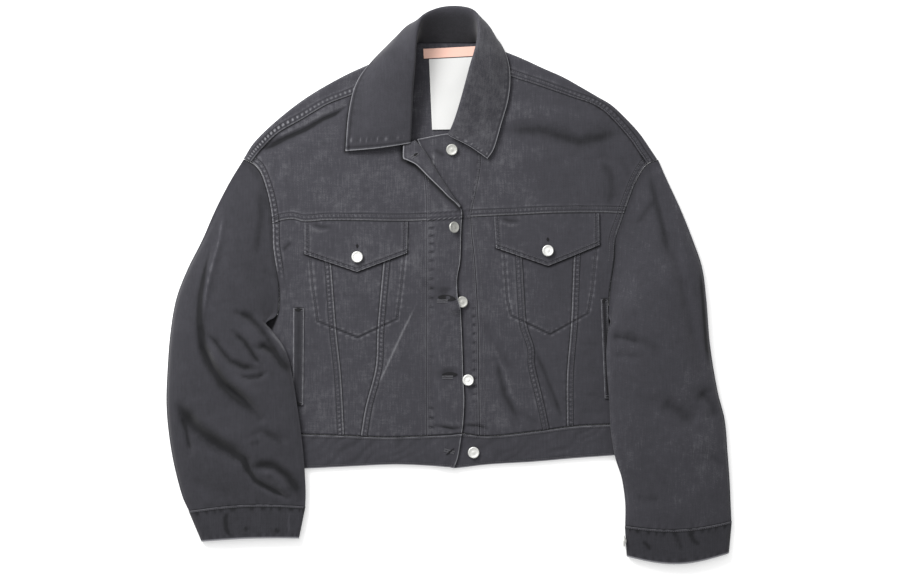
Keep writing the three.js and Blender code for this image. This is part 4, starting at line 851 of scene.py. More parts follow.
def denim_material(name, dark, middle, light, twill_turn=0.0, tone=0.0):
    """Washed twill: yarn streaks, soft clouds, the pale attribute with wear, painted shade and painted highlight, and
    the diagonal of the weave.
    """
    material, tree, shader = new_material(name)
    nodes = Nodes(tree)
    clouds = nodes.noise(16, 4, 0.55)
    mottle = nodes.noise(95, 5, 0.62)
    streaks = nodes.noise(1.0, 3, 0.6, nodes.mapped((620, 45, 620), twill_turn))
    crossing = nodes.noise(1.0, 2, 0.5, nodes.mapped((60, 900, 900), twill_turn))
    specks = nodes.noise(900, 2, 0.6)
    sums = nodes.math("MULTIPLY_ADD", nodes.attribute("pale"), 0.36, 0.5 + tone)
    for field, amount in ((clouds, 0.13), (mottle, 0.19), (streaks, 0.21), (crossing, 0.1), (specks, 0.18)):
        centred = nodes.math("SUBTRACT", field, 0.5)
        sums = nodes.math("MULTIPLY_ADD", centred, amount, sums)
    twill = nodes.wave(0.7, nodes.mapped((1, 1, 1), twill_turn + math.radians(60)))
    sums = nodes.math("MULTIPLY_ADD", nodes.math("SUBTRACT", twill, 0.5), 0.02, sums)
    colour = nodes.ramp(sums, [(0.08, dark), (0.5, middle), (0.98, light)])
    tree.links.new(colour, shader.inputs["Base Color"])
    shader.inputs["Roughness"].default_value = 0.88
    shader.inputs["Specular IOR Level"].default_value = 0.25
    shader.inputs["Sheen Weight"].default_value = 0.12
    shader.inputs["Sheen Roughness"].default_value = 0.6
    weave = nodes.math("MULTIPLY_ADD", specks, 0.5, twill)
    crinkle = nodes.math("MULTIPLY_ADD", nodes.noise(240, 3, 0.6), 1.0, mottle)
    first = nodes.bump(crinkle, 0.3, 0.0004)
    tree.links.new(nodes.bump(weave, 0.2, 0.00015, first), shader.inputs["Normal"])
    return material


def plain_material(name, colour, roughness, metallic=0.0, fleck=0.1, scale=400, bump=0.2, distance=0.0002):
    material, tree, shader = new_material(name)
    nodes = Nodes(tree)
    speck = nodes.noise(scale, 3, 0.6)
    darker = tuple(channel * (1 - fleck) for channel in colour)
    lighter = tuple(min(1, channel * (1 + fleck)) for channel in colour)
    tree.links.new(nodes.ramp(speck, [(0.3, darker), (0.7, lighter)]), shader.inputs["Base Color"])
    shader.inputs["Roughness"].default_value = roughness
    shader.inputs["Metallic"].default_value = metallic
    tree.links.new(nodes.bump(speck, bump, distance), shader.inputs["Normal"])
    return material


DARK, MIDDLE, LIGHT = (0.006, 0.006, 0.008), (0.0382, 0.0373, 0.0455), (0.235, 0.235, 0.25)
denim = denim_material("washed denim", DARK, MIDDLE, LIGHT)
# Copies for the sleeves and cuffs: the twill turns with the cut, and the lower tone of each copy is painted shade.
sleeve_denim = {
    "right": denim_material("washed denim right sleeve", DARK, MIDDLE, LIGHT, math.radians(-14), -0.13),
    "left": denim_material("washed denim left sleeve", DARK, MIDDLE, LIGHT, math.radians(12), -0.035),
}
cuff_denim = denim_material("washed denim cuffs", DARK, MIDDLE, LIGHT, math.radians(90), -0.19)
pocketing = plain_material("pocketing", (0.1, 0.1, 0.105), 0.95)
thread = plain_material("thread", (0.085, 0.084, 0.094), 0.8, fleck=0.35, scale=1500)
hole_shade = plain_material("hole shade", (0.004, 0.004, 0.005), 0.95)
pink_tape = plain_material("pink tape", (0.8, 0.5, 0.41), 0.8, fleck=0.06, scale=2200, bump=0.3)
white_tape = plain_material("white tape", (0.64, 0.64, 0.63), 0.7, fleck=0.04, scale=1800, bump=0.3)
# Button metal duller from wear and darker as painted shade.
shaded_worn_metal = plain_material("worn button metal", (0.46, 0.46, 0.43), 0.5, metallic=0.6, fleck=0.1, scale=700,
                            bump=0.15, distance=0.0001)
metal = plain_material("button metal", (0.8, 0.8, 0.77), 0.42, metallic=0.6, fleck=0.06, scale=700,
                       bump=0.15, distance=0.0001)


# Fronts

YOKE_EDGE = lapped(width=9.2, seed=9, rope=0.15, pale=0.75, blobs=0.3, pitch=6)


def yoke_marks(x, y):
    return np.zeros(np.shape(x)), corner_shade(x, y) + collar_shade(x, y)


def collar_shade(x, y):
    """Deep shade on the yoke beside the free edge of the collar."""
    edge = [row[3][:2] for row in COLLAR]
    d, _, _ = distance_to(edge, x, y)
    return -1.5 * bell(d, 0, 2.6)


def bag_lines(x, y):
    """The rows of stitches that hold a pocket bag behind the front: a shallow trough with painted shade in it,
    darkest at the point of the bag, and paler cloth beside it.
    """
    lift = np.zeros(np.shape(x))
    pale = np.zeros(np.shape(x))
    for places in BAGS.values():
        d, along, length = distance_to(places, x, y)
        low = bell(along, length / 2, length * 0.22)
        lift = lift - (0.3 + 0.5 * low) * bell(d, 0, 1.6) + 0.2 * bell(d, 4.5, 2.5)
        pale = pale - (0.35 + 0.85 * low) * bell(d, 0, 1.3) + 0.3 * bell(d, 2.6, 1.2)
        pale = pale + 0.15 * np.sin(along / 1.6 + np.sin(along / 13)) * bell(d, 2.5, 2.5)
    return lift, pale


def flap_shade(x, y):
    """Painted shadow on the cloth just under a flap's lower edge."""
    pale = np.zeros(np.shape(x))
    for flap in FLAPS.values():
        d, _, _ = distance_to([flap["left"], flap["point"], flap["right"]], x, y)
        pale = pale - 1.6 * bell(d, 0, 2)
    return np.zeros(np.shape(x)), pale


def front_marks(x, y):
    bag, flap = bag_lines(x, y), flap_shade(x, y)
    return bag[0] + flap[0], bag[1] + flap[1]


def panel_layout(left, right):
    left_low, left_high = meeting(left, HEM_SEAM), meeting(left, YOKE_SEAM)
    right_low, right_high = meeting(right, HEM_SEAM), meeting(right, YOKE_SEAM)
    return between(
        across_seam(HEM_SEAM, value_at(left, left_low), value_at(right, right_low)),
        across_seam(YOKE_SEAM, value_at(left, left_high), value_at(right, right_high)),
        down_seam(left, left_low, left_high), down_seam(right, right_low, right_high))


def yoke_inner(seam, start, end, neck):
    up = np.linspace(start, end, 12)
    return polyline([*[(float(value_at(seam, y)), y) for y in up], *neck])


# An empty table for the flat sizes of the cut pieces, in metres: width, length, area; nothing fills it
FLAT = {}


ARMHOLE_SIDES = {"front_side_right": "left", "front_side_left": "right"}


def front_panels():
    plans = [
        ("front_side_right", SIDE_RIGHT, OUTER_SEAM_RIGHT, front_under,
         {"left": fading(lapped(seed=3), 200, 232), "right": lapped(seed=4, pitch=6.2), "bottom": tucked,
          "top": tucked}, (96, 290)),
        ("front_middle_right", OUTER_SEAM_RIGHT, INNER_SEAM_RIGHT, front_under,
         {"left": tucked, "right": tucked, "bottom": tucked, "top": tucked}, (50, 293)),
        ("front_centre_right", INNER_SEAM_RIGHT, BAND_SEAM_RIGHT, lapped_under,
         {"left": lapped(seed=5, pitch=6.2), "right": flush, "bottom": tucked, "top": tucked}, (72, 294)),
        ("front_centre_left", BAND_SEAM_LEFT, INNER_SEAM_LEFT, front_under,
         {"left": flush, "right": lapped(seed=6, pale=0.25, blobs=0.4, pitch=6.2), "bottom": tucked, "top": tucked}, (80, 297)),
        ("front_middle_left", INNER_SEAM_LEFT, OUTER_SEAM_LEFT, front_under,
         {"left": tucked, "right": tucked, "bottom": tucked, "top": tucked}, (55, 292)),
        ("front_side_left", OUTER_SEAM_LEFT, SIDE_LEFT, front_under,
         {"left": lapped(seed=7, pitch=6.2), "right": fading(lapped(seed=8, pale=0.7, blobs=0.2), 232, 262), "bottom": tucked,
          "top": tucked}, (68, 288)),
    ]
    for name, left, right, under, edges, sizes in plans:
        layout = panel_layout(left, right)
        cloth = flat_cloth(layout, sizes, under, DENIM, edges, extra=front_marks)
        piece = make_cloth("cloth_" + name, name, [cloth], denim)
        for side in ("left", "right"):
            if edges[side] is not tucked:
                hidden_below = 0.77 if ARMHOLE_SIDES.get(name) == side else 0.0
                sew_edges(cloth, layout, side, (1.8, 7.2), start=hidden_below)
        yield name, piece


def front_yokes():
    arm_low, arm_top = meeting(SIDE_RIGHT, YOKE_SEAM), 169
    band_low = meeting(BAND_SEAM_RIGHT, YOKE_SEAM)
    shoulder = [row[:2] for row in SHOULDER_RIGHT[:-1]][::-1]
    layout = between(
        across_seam(YOKE_SEAM, value_at(SIDE_RIGHT, arm_low), value_at(BAND_SEAM_RIGHT, band_low)),
        polyline([(float(value_at(SIDE_RIGHT, arm_top)), arm_top), *shoulder]),
        down_seam(SIDE_RIGHT, arm_low, arm_top), yoke_inner(BAND_SEAM_RIGHT, band_low, 197, NECK_RIGHT))
    edges = {"bottom": YOKE_EDGE, "left": lapped(seed=10), "top": tucked, "right": flush}
    cloth = flat_cloth(layout, (215, 190), lapped_under, DENIM, edges, extra=yoke_marks)
    yield "front_yoke_right", make_cloth("cloth_front_yoke_right", "front_yoke_right", [cloth], denim)
    sew_edges(cloth, layout, "bottom", (1.8, 7.2))
    sew_edges(cloth, layout, "left", (1.8, 7.2))

    arm_low, arm_top = meeting(SIDE_LEFT, YOKE_SEAM), 167
    band_low = meeting(BAND_SEAM_LEFT, YOKE_SEAM)
    arm_edge = float(value_at(SIDE_LEFT, arm_top))
    shoulder = [row[:2] for row in SHOULDER_LEFT[:-1]]
    layout = between(
        across_seam(YOKE_SEAM, value_at(BAND_SEAM_LEFT, band_low), value_at(SIDE_LEFT, arm_low)),
        polyline([*shoulder, (arm_edge - 5, arm_top + 5), (arm_edge, arm_top)]),
        yoke_inner(BAND_SEAM_LEFT, band_low, 270, NECK_LEFT), down_seam(SIDE_LEFT, arm_low, arm_top))
    edges = {"bottom": YOKE_EDGE, "right": lapped(seed=12, pale=0.8, blobs=0.15), "top": tucked, "left": flush}
    cloth = flat_cloth(layout, (215, 190), front_under, DENIM, edges)
    yield "front_yoke_left", make_cloth("cloth_front_yoke_left", "front_yoke_left", [cloth], denim)
    sew_edges(cloth, layout, "bottom", (1.8, 7.2))
    sew_edges(cloth, layout, "right", (1.8, 7.2))


# Back

def back_pieces():
    low_y = meeting(SIDE_RIGHT, HEM_SEAM)
    low_left = meeting(SIDE_LEFT, HEM_SEAM)
    top = BACK_YOKE_SEAM_Y - 0.2
    layout = between(
        across_seam(HEM_SEAM, value_at(SIDE_RIGHT, low_y), value_at(SIDE_LEFT, low_left)),
        across_seam([(-300, top), (300, top)], value_at(SIDE_RIGHT, top), value_at(SIDE_LEFT, top)),
        down_seam(SIDE_RIGHT, low_y, top), down_seam(SIDE_LEFT, low_left, top))
    cloth = Cloth(*flat_on_table(layout, {"top": tucked, "bottom": tucked}), DENIM,
                  spread(478, 7), spread(302, 7))
    yield "back_panel", make_cloth("cloth_back_panel", "back_panel", [cloth, *armpit_backs()], denim)

    fold_right = [row[2:] for row in SHOULDER_RIGHT][::-1]
    fold_left = [row[2:] for row in SHOULDER_LEFT]
    low = BACK_YOKE_SEAM_Y + 0.2
    layout = between(
        across_seam([(-300, low), (300, low)], value_at(SIDE_RIGHT, low), value_at(SIDE_LEFT, low)),
        polyline([(x + 1.5, y - 1) for x, y in fold_right] + BACK_NECK + [(x - 1.5, y - 1) for x, y in fold_left]),
        polyline([*down_seam(SIDE_RIGHT, low, 168)(np.linspace(0, 1, 12)), (fold_right[0][0] + 1.5, fold_right[0][1] - 1)]),
        polyline([*down_seam(SIDE_LEFT, low, 168)(np.linspace(0, 1, 12)), (fold_left[-1][0] - 1.5, fold_left[-1][1] - 1)]))
    cloth = Cloth(*flat_on_table(layout, {"bottom": lapped(height=0), "top": tucked}), DENIM,
                  spread(478, 4), spread(228, 4))
    turns = [shoulder_turn(SHOULDER_RIGHT, 13, 1.5, 0.45), shoulder_turn(SHOULDER_LEFT, 14, 0.5, 0.3)]
    yield "back_yoke", make_cloth("cloth_back_yoke", "back_yoke", [cloth, *turns], denim)
    for turn in turns:
        for share in (0.955, 0.79):
            sew(turn, share, np.linspace(0.0, 1.0, 240))


def armpit_backs():
    """The back's allowance in the notch between each side seam and the sleeve, deep in shade."""
    for low_out, low_in, high_out, high_in in (((-255, -76), (-238, -66), (-250, -38), (-231.5, -38)),
                                               ((212, -64), (226, -64), (212, -26), (222, -26))):
        layout = between(polyline([low_out, low_in]), polyline([high_out, high_in]),
                         polyline([low_out, high_out]), polyline([low_in, high_in]))

        def middle(s, t, layout=layout):
            place = layout(s, t)
            return np.concatenate([place, np.full(np.shape(s) + (1,), 0.9)], axis=-1)
        # Its even darkness is painted shade.
        yield Cloth(middle, lambda s, t: np.full(np.shape(s), -1.4), DENIM, spread(18, 6), spread(32, 6))


def flat_on_table(layout, edges):
    def parts(s, t):
        place = layout(s, t)
        wide, tall = layout.wide(t), layout.tall(s)
        pale = wash_and_shade(place[..., 0], place[..., 1], [])
        reach = {"bottom": (t * tall, s * wide), "top": ((1 - t) * tall, s * wide)}
        for side, style in edges.items():
            pale = pale + style(*reach[side])[1]
        z = np.full(np.shape(s), DENIM / 2 + 0.02)
        return np.concatenate([place, z[..., None]], axis=-1), pale
    return (lambda s, t: parts(s, t)[0]), (lambda s, t: parts(s, t)[1])


# Section of the shoulder: distance in from the fold, and height of the middle of the cloth
TURN = [(8, 0.75), (4, 0.8), (1.7, 1.2), (0.8, 2.5), (1.7, 3.8), (3.8, 4.3)]


def shoulder_turn(rows, seed, blobs, pale):
    seam_rows = lapped(seed=seed, height=0.75, rope=0.7, pale=pale, pitch=7.4, blobs=blobs)

    def parts(s, t):
        step = t * (len(rows) - 1)
        seam = np.stack([value_at(column(rows, 0), step), value_at(column(rows, 1), step)], axis=-1)
        fold = np.stack([value_at(column(rows, 2), step), value_at(column(rows, 3), step)], axis=-1)
        inward = seam - fold
        wide = np.linalg.norm(inward, axis=-1, keepdims=True)
        inward = inward / wide
        share = 0.3
        turned = np.clip(s / share, 0, 1) * (len(TURN) - 1)
        far = np.interp(turned, range(len(TURN)), [far for far, _ in TURN])
        z = np.interp(turned, range(len(TURN)), [z for _, z in TURN])
        rest = np.clip((s - share) / (1 - share), 0, 1)
        far = np.where(s > share, lerp(TURN[-1][0], wide[..., 0] - SEAM, rest), far)
        place = fold + inward * far[..., None]
        top = front_under(place[..., 0], place[..., 1]) + DENIM / 2
        z = np.where(s > share, lerp(TURN[-1][1], top, smooth(0, 0.6, rest)), z)
        lift, wear_and_shade = seam_rows(wide[..., 0] - far, t * 300)
        on_top = smooth(share, share + 0.08, s)
        pale = wash_and_shade(place[..., 0], place[..., 1], BODY_FOLDS) + wear_and_shade * on_top
        pale = pale + 0.1 * bell(far, 1, 2.2)
        return np.concatenate([place, (z + lift * on_top)[..., None]], axis=-1), pale
    s = np.concatenate([np.linspace(0, 0.3, 12), 0.3 + 0.7 * spread(30, 1.8)[1:]])
    return Cloth(lambda a, b: parts(a, b)[0], lambda a, b: parts(a, b)[1], DENIM, s, spread(290, 2.4))


# Bands and the turned-back corner

def below_corner(d, a):
    """The free edge, as far up as the corner that is turned back."""
    lift, pale = free_edge(d, a)
    share = 1 - smooth(300, 306, a)
    return lift * share, pale * share


def placket_right():
    seam = BAND_SEAM_RIGHT
    low, edge_low = meeting(seam, HEM_SEAM), meeting(LAP_EDGE, HEM_SEAM)
    free = [(x, y) for y, x in LAP_EDGE if edge_low < y < 109]
    roll = [row[:2] for row in TURNED_CORNER]
    layout = between(
        across_seam(HEM_SEAM, value_at(seam, low), value_at(LAP_EDGE, edge_low)),
        polyline([(float(value_at(seam, 197)), 197), (-46, 198)]),
        down_seam(seam, low, 197), rounded([(float(value_at(LAP_EDGE, edge_low)), edge_low), *free, *roll]))
    edges = {"left": both(flush, puckered(3, 10.5, 11.6, 0.4, 2)),
             "right": below_corner, "bottom": tucked}
    cloth = flat_cloth(layout, (47, 402), lapped_under, DOUBLED, edges, step=1.8, extra=right_band_marks)
    corner = turned_corner()
    piece = make_cloth("cloth_placket_right", "placket_right", [cloth, corner], denim)
    sew_edges(cloth, layout, "left", (1.2, 4.6))
    sew_edges(cloth, layout, "right", (2.4,), end=0.72)
    run = np.linspace(0.06, 0.98, 200)
    sew(corner, 0.93, run)
    return piece, cloth, corner


def yoke_seam_across(x, y):
    """The seam of the yoke runs on through both bands, with a line of painted shade under its edge."""
    d = y - value_at(YOKE_SEAM, x)
    lift, pale = YOKE_EDGE(d, x)
    above = smooth(-0.3, 0.3, d)
    return 0.6 * lift, pale * above - 1.3 * bell(d, -1.1, 0.9) * (1 - above)


def left_band_marks(x, y):
    lift, pale = yoke_seam_across(x, y)
    # Painted shadow on the left band beside the free edge of the lap.
    beside_lap = bell(x, value_at(LAP_EDGE, np.minimum(y, 110)), 2.6) * (1 - smooth(100, 106, y))
    return lift, pale - 1.2 * beside_lap + corner_shade(x, y) * smooth(100, 106, y)


def right_band_marks(x, y):
    seam, hole = yoke_seam_across(x, y), shade_above_holes(x, y)
    return seam[0] + hole[0], seam[1] + hole[1] + corner_shade(x, y)


def corner_shade(x, y):
    """Deep shade beside the free edge of the turned-back corner."""
    d, _, _ = distance_to([row[2:] for row in TURNED_CORNER], x, y)
    return -1.7 * bell(d, 0, 4)


def shade_above_holes(x, y):
    """Painted shade where the cloth gapes above each empty buttonhole."""
    pale = np.zeros(np.shape(x))
    for hx, hy, _ in BUTTONHOLES[:2]:
        pale = pale - 0.7 * np.exp(-(((x - hx + 1) / 13) ** 2) - (((y - hy - 5) / 6) ** 2))
    return np.zeros(np.shape(x)), pale


def turned_corner():
    section = [(4.5, 1.3), (2.0, 1.25), (1.0, 2.0), (0.7, 3.0), (1.3, 4.1), (3.0, 4.7)]

    def parts(s, t):
        step = t * (len(TURNED_CORNER) - 1)
        roll = np.stack([value_at(column(TURNED_CORNER, 0), step), value_at(column(TURNED_CORNER, 1), step)], axis=-1)
        edge = np.stack([value_at(column(TURNED_CORNER, 2), step), value_at(column(TURNED_CORNER, 3), step)], axis=-1)
        inward = edge - roll
        wide = np.linalg.norm(inward, axis=-1, keepdims=True)
        inward = inward / wide
        share = 0.35
        taper = np.clip(wide[..., 0] / 5.5, 0.12, 1)
        turned = np.clip(s / share, 0, 1) * (len(section) - 1)
        far = np.interp(turned, range(len(section)), [far for far, _ in section]) * taper
        z = np.interp(turned, range(len(section)), [z for _, z in section])
        rest = np.clip((s - share) / (1 - share), 0, 1)
        far = np.where(s > share, lerp(section[-1][0] * taper, np.maximum(wide[..., 0], 3.2 * taper), rest), far)
        z = lerp(1.3, np.where(s > share, section[-1][1] + 0.5 * rest ** 2, z), taper)
        place = roll + inward * far[..., None]
        base = lapped_under(roll[..., 0], roll[..., 1])
        d = (1 - rest) * wide[..., 0]
        # A bright rim of edge wear, and a line of painted shade just inside it along the stitches.
        pale = 0.1 * noise(place[..., 0], place[..., 1], 12, 4) + 1.3 * bell(d, 0.5, 1.2) - 0.3 * bell(d, 3.4, 1.2)
        return np.concatenate([place, (base + z)[..., None]], axis=-1), pale
    s = np.concatenate([np.linspace(0, 0.35, 14), 0.35 + 0.65 * spread(24, 1.4)[1:]])
    return Cloth(lambda a, b: parts(a, b)[0], lambda a, b: parts(a, b)[1], DOUBLED - 0.2, s, spread(105, 1.8))


def placket_left():
    low, edge_low = meeting(BAND_SEAM_LEFT, HEM_SEAM), meeting(UNDER_EDGE, HEM_SEAM)
    layout = between(
        across_seam(HEM_SEAM, value_at(UNDER_EDGE, edge_low), value_at(BAND_SEAM_LEFT, low)),
        rounded(NECK_OF_LEFT_BAND), down_seam(UNDER_EDGE, edge_low, 200), down_seam(BAND_SEAM_LEFT, low, 250))
    edges = {"right": both(flush, puckered(3, 10.5, 11.2, 0.4, 5)),
             "left": free_edge, "bottom": tucked, "top": free_edge}
    cloth = flat_cloth(layout, (50, 440), front_under, DOUBLED, edges, step=1.9, extra=left_band_marks)
    piece = make_cloth("cloth_placket_left", "placket_left", [cloth], denim)
    sew_edges(cloth, layout, "right", (1.2, 4.6))
    return piece, cloth


# Waistband

WAIST_RIPPLE = 0.3


def waistband():
    side_right, side_left = -237, 245
    half = DOUBLED / 2
    middle_front = FRONT_REST + half
    radius = (middle_front - half) / 2
    along, kind = [], []
    edge_x = {"lap": LAP_EDGE, "under": UNDER_EDGE}
    front = spread(245, 2.2)
    stations = [("lap", u) for u in front]
    stations += [("turn_right", u) for u in np.linspace(0.15, 0.85, 6)]
    stations += [("back", u) for u in np.linspace(0, 1, 60)]
    stations += [("turn_left", u) for u in np.linspace(0.15, 0.85, 6)]
    stations += [("under", u) for u in (1 - front)[::-1][::-1]]
    v = spread(42, 2.0)

    def height(x, share):
        return lerp(value_at(HEM, x), value_at(HEM_SEAM, x) - 0.3, share)

    def ripple(x, y):
        slope = 0.75
        phase = (x * slope - y) / 14 * 2 * math.pi * 0.8 + 4.5 * noise(x, y, 26, 21)
        strong = 0.15 + 0.8 * smooth(-0.1, 0.7, noise(x, y, 24, 22)) * (0.6 + 0.4 * smooth(-40, -140, x))
        return np.sin(phase) * strong
    rows, pales = [], []
    for name, u in stations:
        if name in edge_x:
            edge = value_at(edge_x[name], lerp(value_at(HEM, 8), value_at(HEM_SEAM, 8), v))
            end = side_right if name == "lap" else side_left
            x = lerp(edge, end, u)
            y = height(x, v)
            under = lapped_under(x, y) if name == "lap" else front_under(x, y)
            wave = ripple(x, y)
            rise = WAIST_RIPPLE * wave * smooth(0, 0.12, v) * (1 - smooth(0.88, 1, v)) * smooth(0.02, 0.1, u)
            z = lerp(under, FRONT_REST, smooth(0.7, 1, u)) + half + rise
            d_top, d_low, d_end = (1 - v) * 42, v * 42, u * 240
            # Painted shade in the troughs of the ripples, along the seam above and in the two stitch grooves; the
            # bright rims are edge wear.
            pale = wash_and_shade(x, y, []) - 0.15 + 0.35 * np.minimum(wave, 0.15) + 0.9 * bell(d_top, 1.1, 0.7)
            pale = pale - 0.9 * bell(d_top, 0, 0.6) + 0.8 * bell(d_low, 0.5, 0.9) + 0.9 * bell(d_end, 0.4, 0.9)
            pale = pale - 0.6 * bell(d_top, 3.0, 1.1) - 0.4 * bell(d_low, 3.0, 1.0)
        elif name == "back":
            x = np.full_like(v, lerp(side_right, side_left, u))
            y, z = height(x, v), np.full_like(v, half)
            pale = wash_and_shade(x, y, [])
        else:
            direction = -1 if name == "turn_right" else 1
            angle = u * math.pi if direction < 0 else (1 - u) * math.pi
            x = np.full_like(v, (side_right if direction < 0 else side_left) + direction * radius * math.sin(angle))
            y = height(x, v)
            z = np.full_like(v, half + radius + radius * math.cos(angle))
            pale = wash_and_shade(x, y, [])
        rows.append(np.stack([x, y, z], axis=-1))
        pales.append(pale)
    points, pale = np.array(rows), np.array(pales)
    normal = curve_normals(points) * half
    flat = Cloth(None, None, DOUBLED, v, np.arange(len(rows)))
    flat.shell = lambda: (points + normal, points - normal, pale)
    piece = make_cloth("cloth_waistband", "waistband", [flat], denim)
    up = np.array([0, 0, 1.0])
    for start, count in ((0, len(front)), (len(rows) - len(front), len(front))):
        run = points[start:start + count]
        for share in (0.07, 0.93):
            column_at = np.interp(share, v, np.arange(len(v)))
            k = int(column_at)
            line = lerp(run[:, k], run[:, k + 1], column_at - k) + up * (half + 0.05)
            stitch_rows.append((line, np.tile(up, (count, 1)), STITCH_PITCH, 0.68, 0.62))
    return piece


# Collar

def collar():
    last = len(COLLAR) - 1

    def middle(s, t):
        step = np.asarray(t) * last
        knots = [np.stack([value_at([(k, row[part][axis]) for k, row in enumerate(COLLAR)], step)
                           for axis in range(3)], axis=-1) for part in range(4)]
        u = np.asarray(s) * 3
        before = 2 * knots[0] - knots[1]
        after = 2 * knots[3] - knots[2]
        chain = [before, *knots, after]
        result = np.zeros(knots[0].shape)
        for k in range(3):
            w = np.clip(u - k, 0, 1)[..., None]
            a, b, c, d = chain[k:k + 4]
            bend = 0.5 * (2 * b + (c - a) * w + (2 * a - 5 * b + 4 * c - d) * w ** 2
                          + (3 * b - a - 3 * c + d) * w ** 3)
            inside = ((u >= k) & ((u < k + 1) | (k == 2)))[..., None]
            result = np.where(inside, bend, result)
        ripple = 0.35 * noise(result[..., 0], result[..., 1], 18, 31) * smooth(0.3, 0.6, s)
        result[..., 2] += ripple
        return result

    def pale(s, t):
        points = middle(s, t)
        leaf = (1 - s) * 95
        end = np.minimum(t, 1 - t) * 560
        waves = np.sin(t * 560 / 1.5 + np.sin(t * 60))
        lumps = np.sin((s * 132 - 44) / 1.55 + 2 * np.sin(s * 17))
        # Bright rims and the pucker blobs are wear. The dark lines along the stitches and the darker inside of the
        # stand are painted shade, and so are the darker right leaf and the slightly paler left leaf: painted shade
        # and painted light.
        wear_and_shade = 1.25 * bell(leaf, 0.2, 0.75) + 1.25 * bell(end, 0.2, 0.8)
        wear_and_shade = wear_and_shade - 0.6 * bell(leaf, 3.2, 1.1) - 0.6 * bell(end, 3.2, 1.1) + 0.12 * waves * bell(leaf, 6, 2.5)
        wear_and_shade = wear_and_shade + 1.2 * np.clip(lumps - 0.45, -0.15, 1) * bell(end, 9, 2.6) * smooth(0.36, 0.5, s)
        wear_and_shade = wear_and_shade - (0.25 - 0.36 * smooth(0.4, 0.6, t)) * smooth(0.3, 0.4, s)
        wear_and_shade = wear_and_shade - 0.75 * (1 - smooth(0.2, 0.36, s)) + 0.06 * noise(points[..., 0], points[..., 1], 14, 32)
        return wear_and_shade
    s = np.concatenate([np.linspace(0, 1 / 3, 20)[:-1], 1 / 3 + (2 / 3) * spread(80, 2.0)])
    cloth = Cloth(middle, pale, DOUBLED, s, spread(560, 2.4))
    piece = make_cloth("cloth_collar", "collar", [cloth], denim)
    run = np.linspace(0.012, 0.988, 420)
    sew(cloth, 0.945, run)
    for end in (0.011, 0.989):
        sew(cloth, np.linspace(0.4, 0.945, 60), end)
    return piece


# Pockets

def flap(side):
    corners = FLAPS[side]
    left_x, right_x = corners["top"]
    top = [(x, y - 0.4) for x, y in YOKE_SEAM]
    left_y, right_y = float(value_at(top, left_x)), float(value_at(top, right_x))
    under = lapped_under if side == "right" else front_under
    layout = between(
        polyline([corners["left"], corners["point"], corners["right"]]),
        across_seam(top, left_x, right_x),
        polyline([corners["left"], (left_x, left_y)]), polyline([corners["right"], (right_x, right_y)]))

    def base(x, y):
        return under(x, y) + DENIM + CLEAR + 0.1
    edges = {"left": lapped(width=5.5, height=0.1, rope=0.2, pitch=6, seed=17),
             "right": lapped(width=5.5, height=0.1, rope=0.2, pitch=6, seed=18),
             "bottom": lapped(width=5.5, height=0.1, rope=0.25, pitch=7, seed=19), "top": tucked}
    folds = [([(left_x + 9.5, left_y - 4), (left_x + 21, left_y - 7.5), (left_x + 35, left_y - 8.5)], 2.6, -0.6),
             ([(left_x + 10, left_y - 9.5), (left_x + 21, left_y - 13.5), (left_x + 36, left_y - 11.5)], 2.6, 0.3)]

    def crease(x, y):
        found = relief(folds, x, y)
        # Paleness follows the crease: painted highlight on its ridge and painted shade in its trough.
        return found, 0.8 * found
    cloth = flat_cloth(layout, (140, 56), base, DOUBLED - 0.2, edges, step=1.9, extra=crease)
    piece = make_cloth(f"cloth_pocket_flap_{side}", f"pocket_flap_{side}", [cloth], denim)
    for edge, distances in (("left", (1.8, 5.6)), ("right", (1.8, 5.6)), ("bottom", (1.8, 5.6))):
        sew_edges(cloth, layout, edge, distances, start=0.02, end=0.98)
    return piece


def bag(side):
    places = BAGS[side]
    left, point, right = places[:3], places[3], places[4:][::-1]
    layout = between(
        polyline([left[2], point, right[-1]]), polyline([left[0], right[0]]),
        polyline(left[::-1]), polyline(right[::-1]))

    def middle(s, t):
        place = layout(s, t)
        return np.concatenate([place, np.full(np.shape(s) + (1,), 2.5)], axis=-1)
    cloth = Cloth(middle, lambda s, t: np.zeros(np.shape(s)), 0.8, spread(128, 6), spread(115, 6))
    return make_cloth(f"cloth_pocket_bag_{side}", f"pocket_bag_{side}", [cloth], pocketing)


def welt(side):
    (tx, ty), (bx, by), width = WELTS[side]
    layout = between(
        polyline([(bx, by), (bx + width, by)]), polyline([(tx, ty), (tx + width, ty)]),
        polyline([(bx, by), (tx, ty)]), polyline([(bx + width, by), (tx + width, ty)]))

    def base(x, y):
        return front_under(x, y) + DENIM + 0.4
    edges = {"left": free_edge, "right": free_edge, "bottom": tucked, "top": tucked}

    def inside(x, y):
        share = (x - lerp(bx, tx, (y - by) / (ty - by))) / width
        # Painted shade down the middle of the welt.
        return np.zeros(np.shape(x)), -0.8 * bell(share, 0.5, 0.3)
    cloth = flat_cloth(layout, (width, 134), base, DENIM, edges, step=1.5, extra=inside)
    piece = make_cloth(f"cloth_welt_{side}", f"welt_{side}", [cloth], denim)
    sew_edges(cloth, layout, "left", (2.0,))
    sew_edges(cloth, layout, "right", (2.0,))
    for end in (0.012, 0.035, 0.965, 0.988):
        sew(cloth, np.linspace(0.05, 0.95, 30), end, pitch=1.4, length=0.9, width=0.7)
    return piece


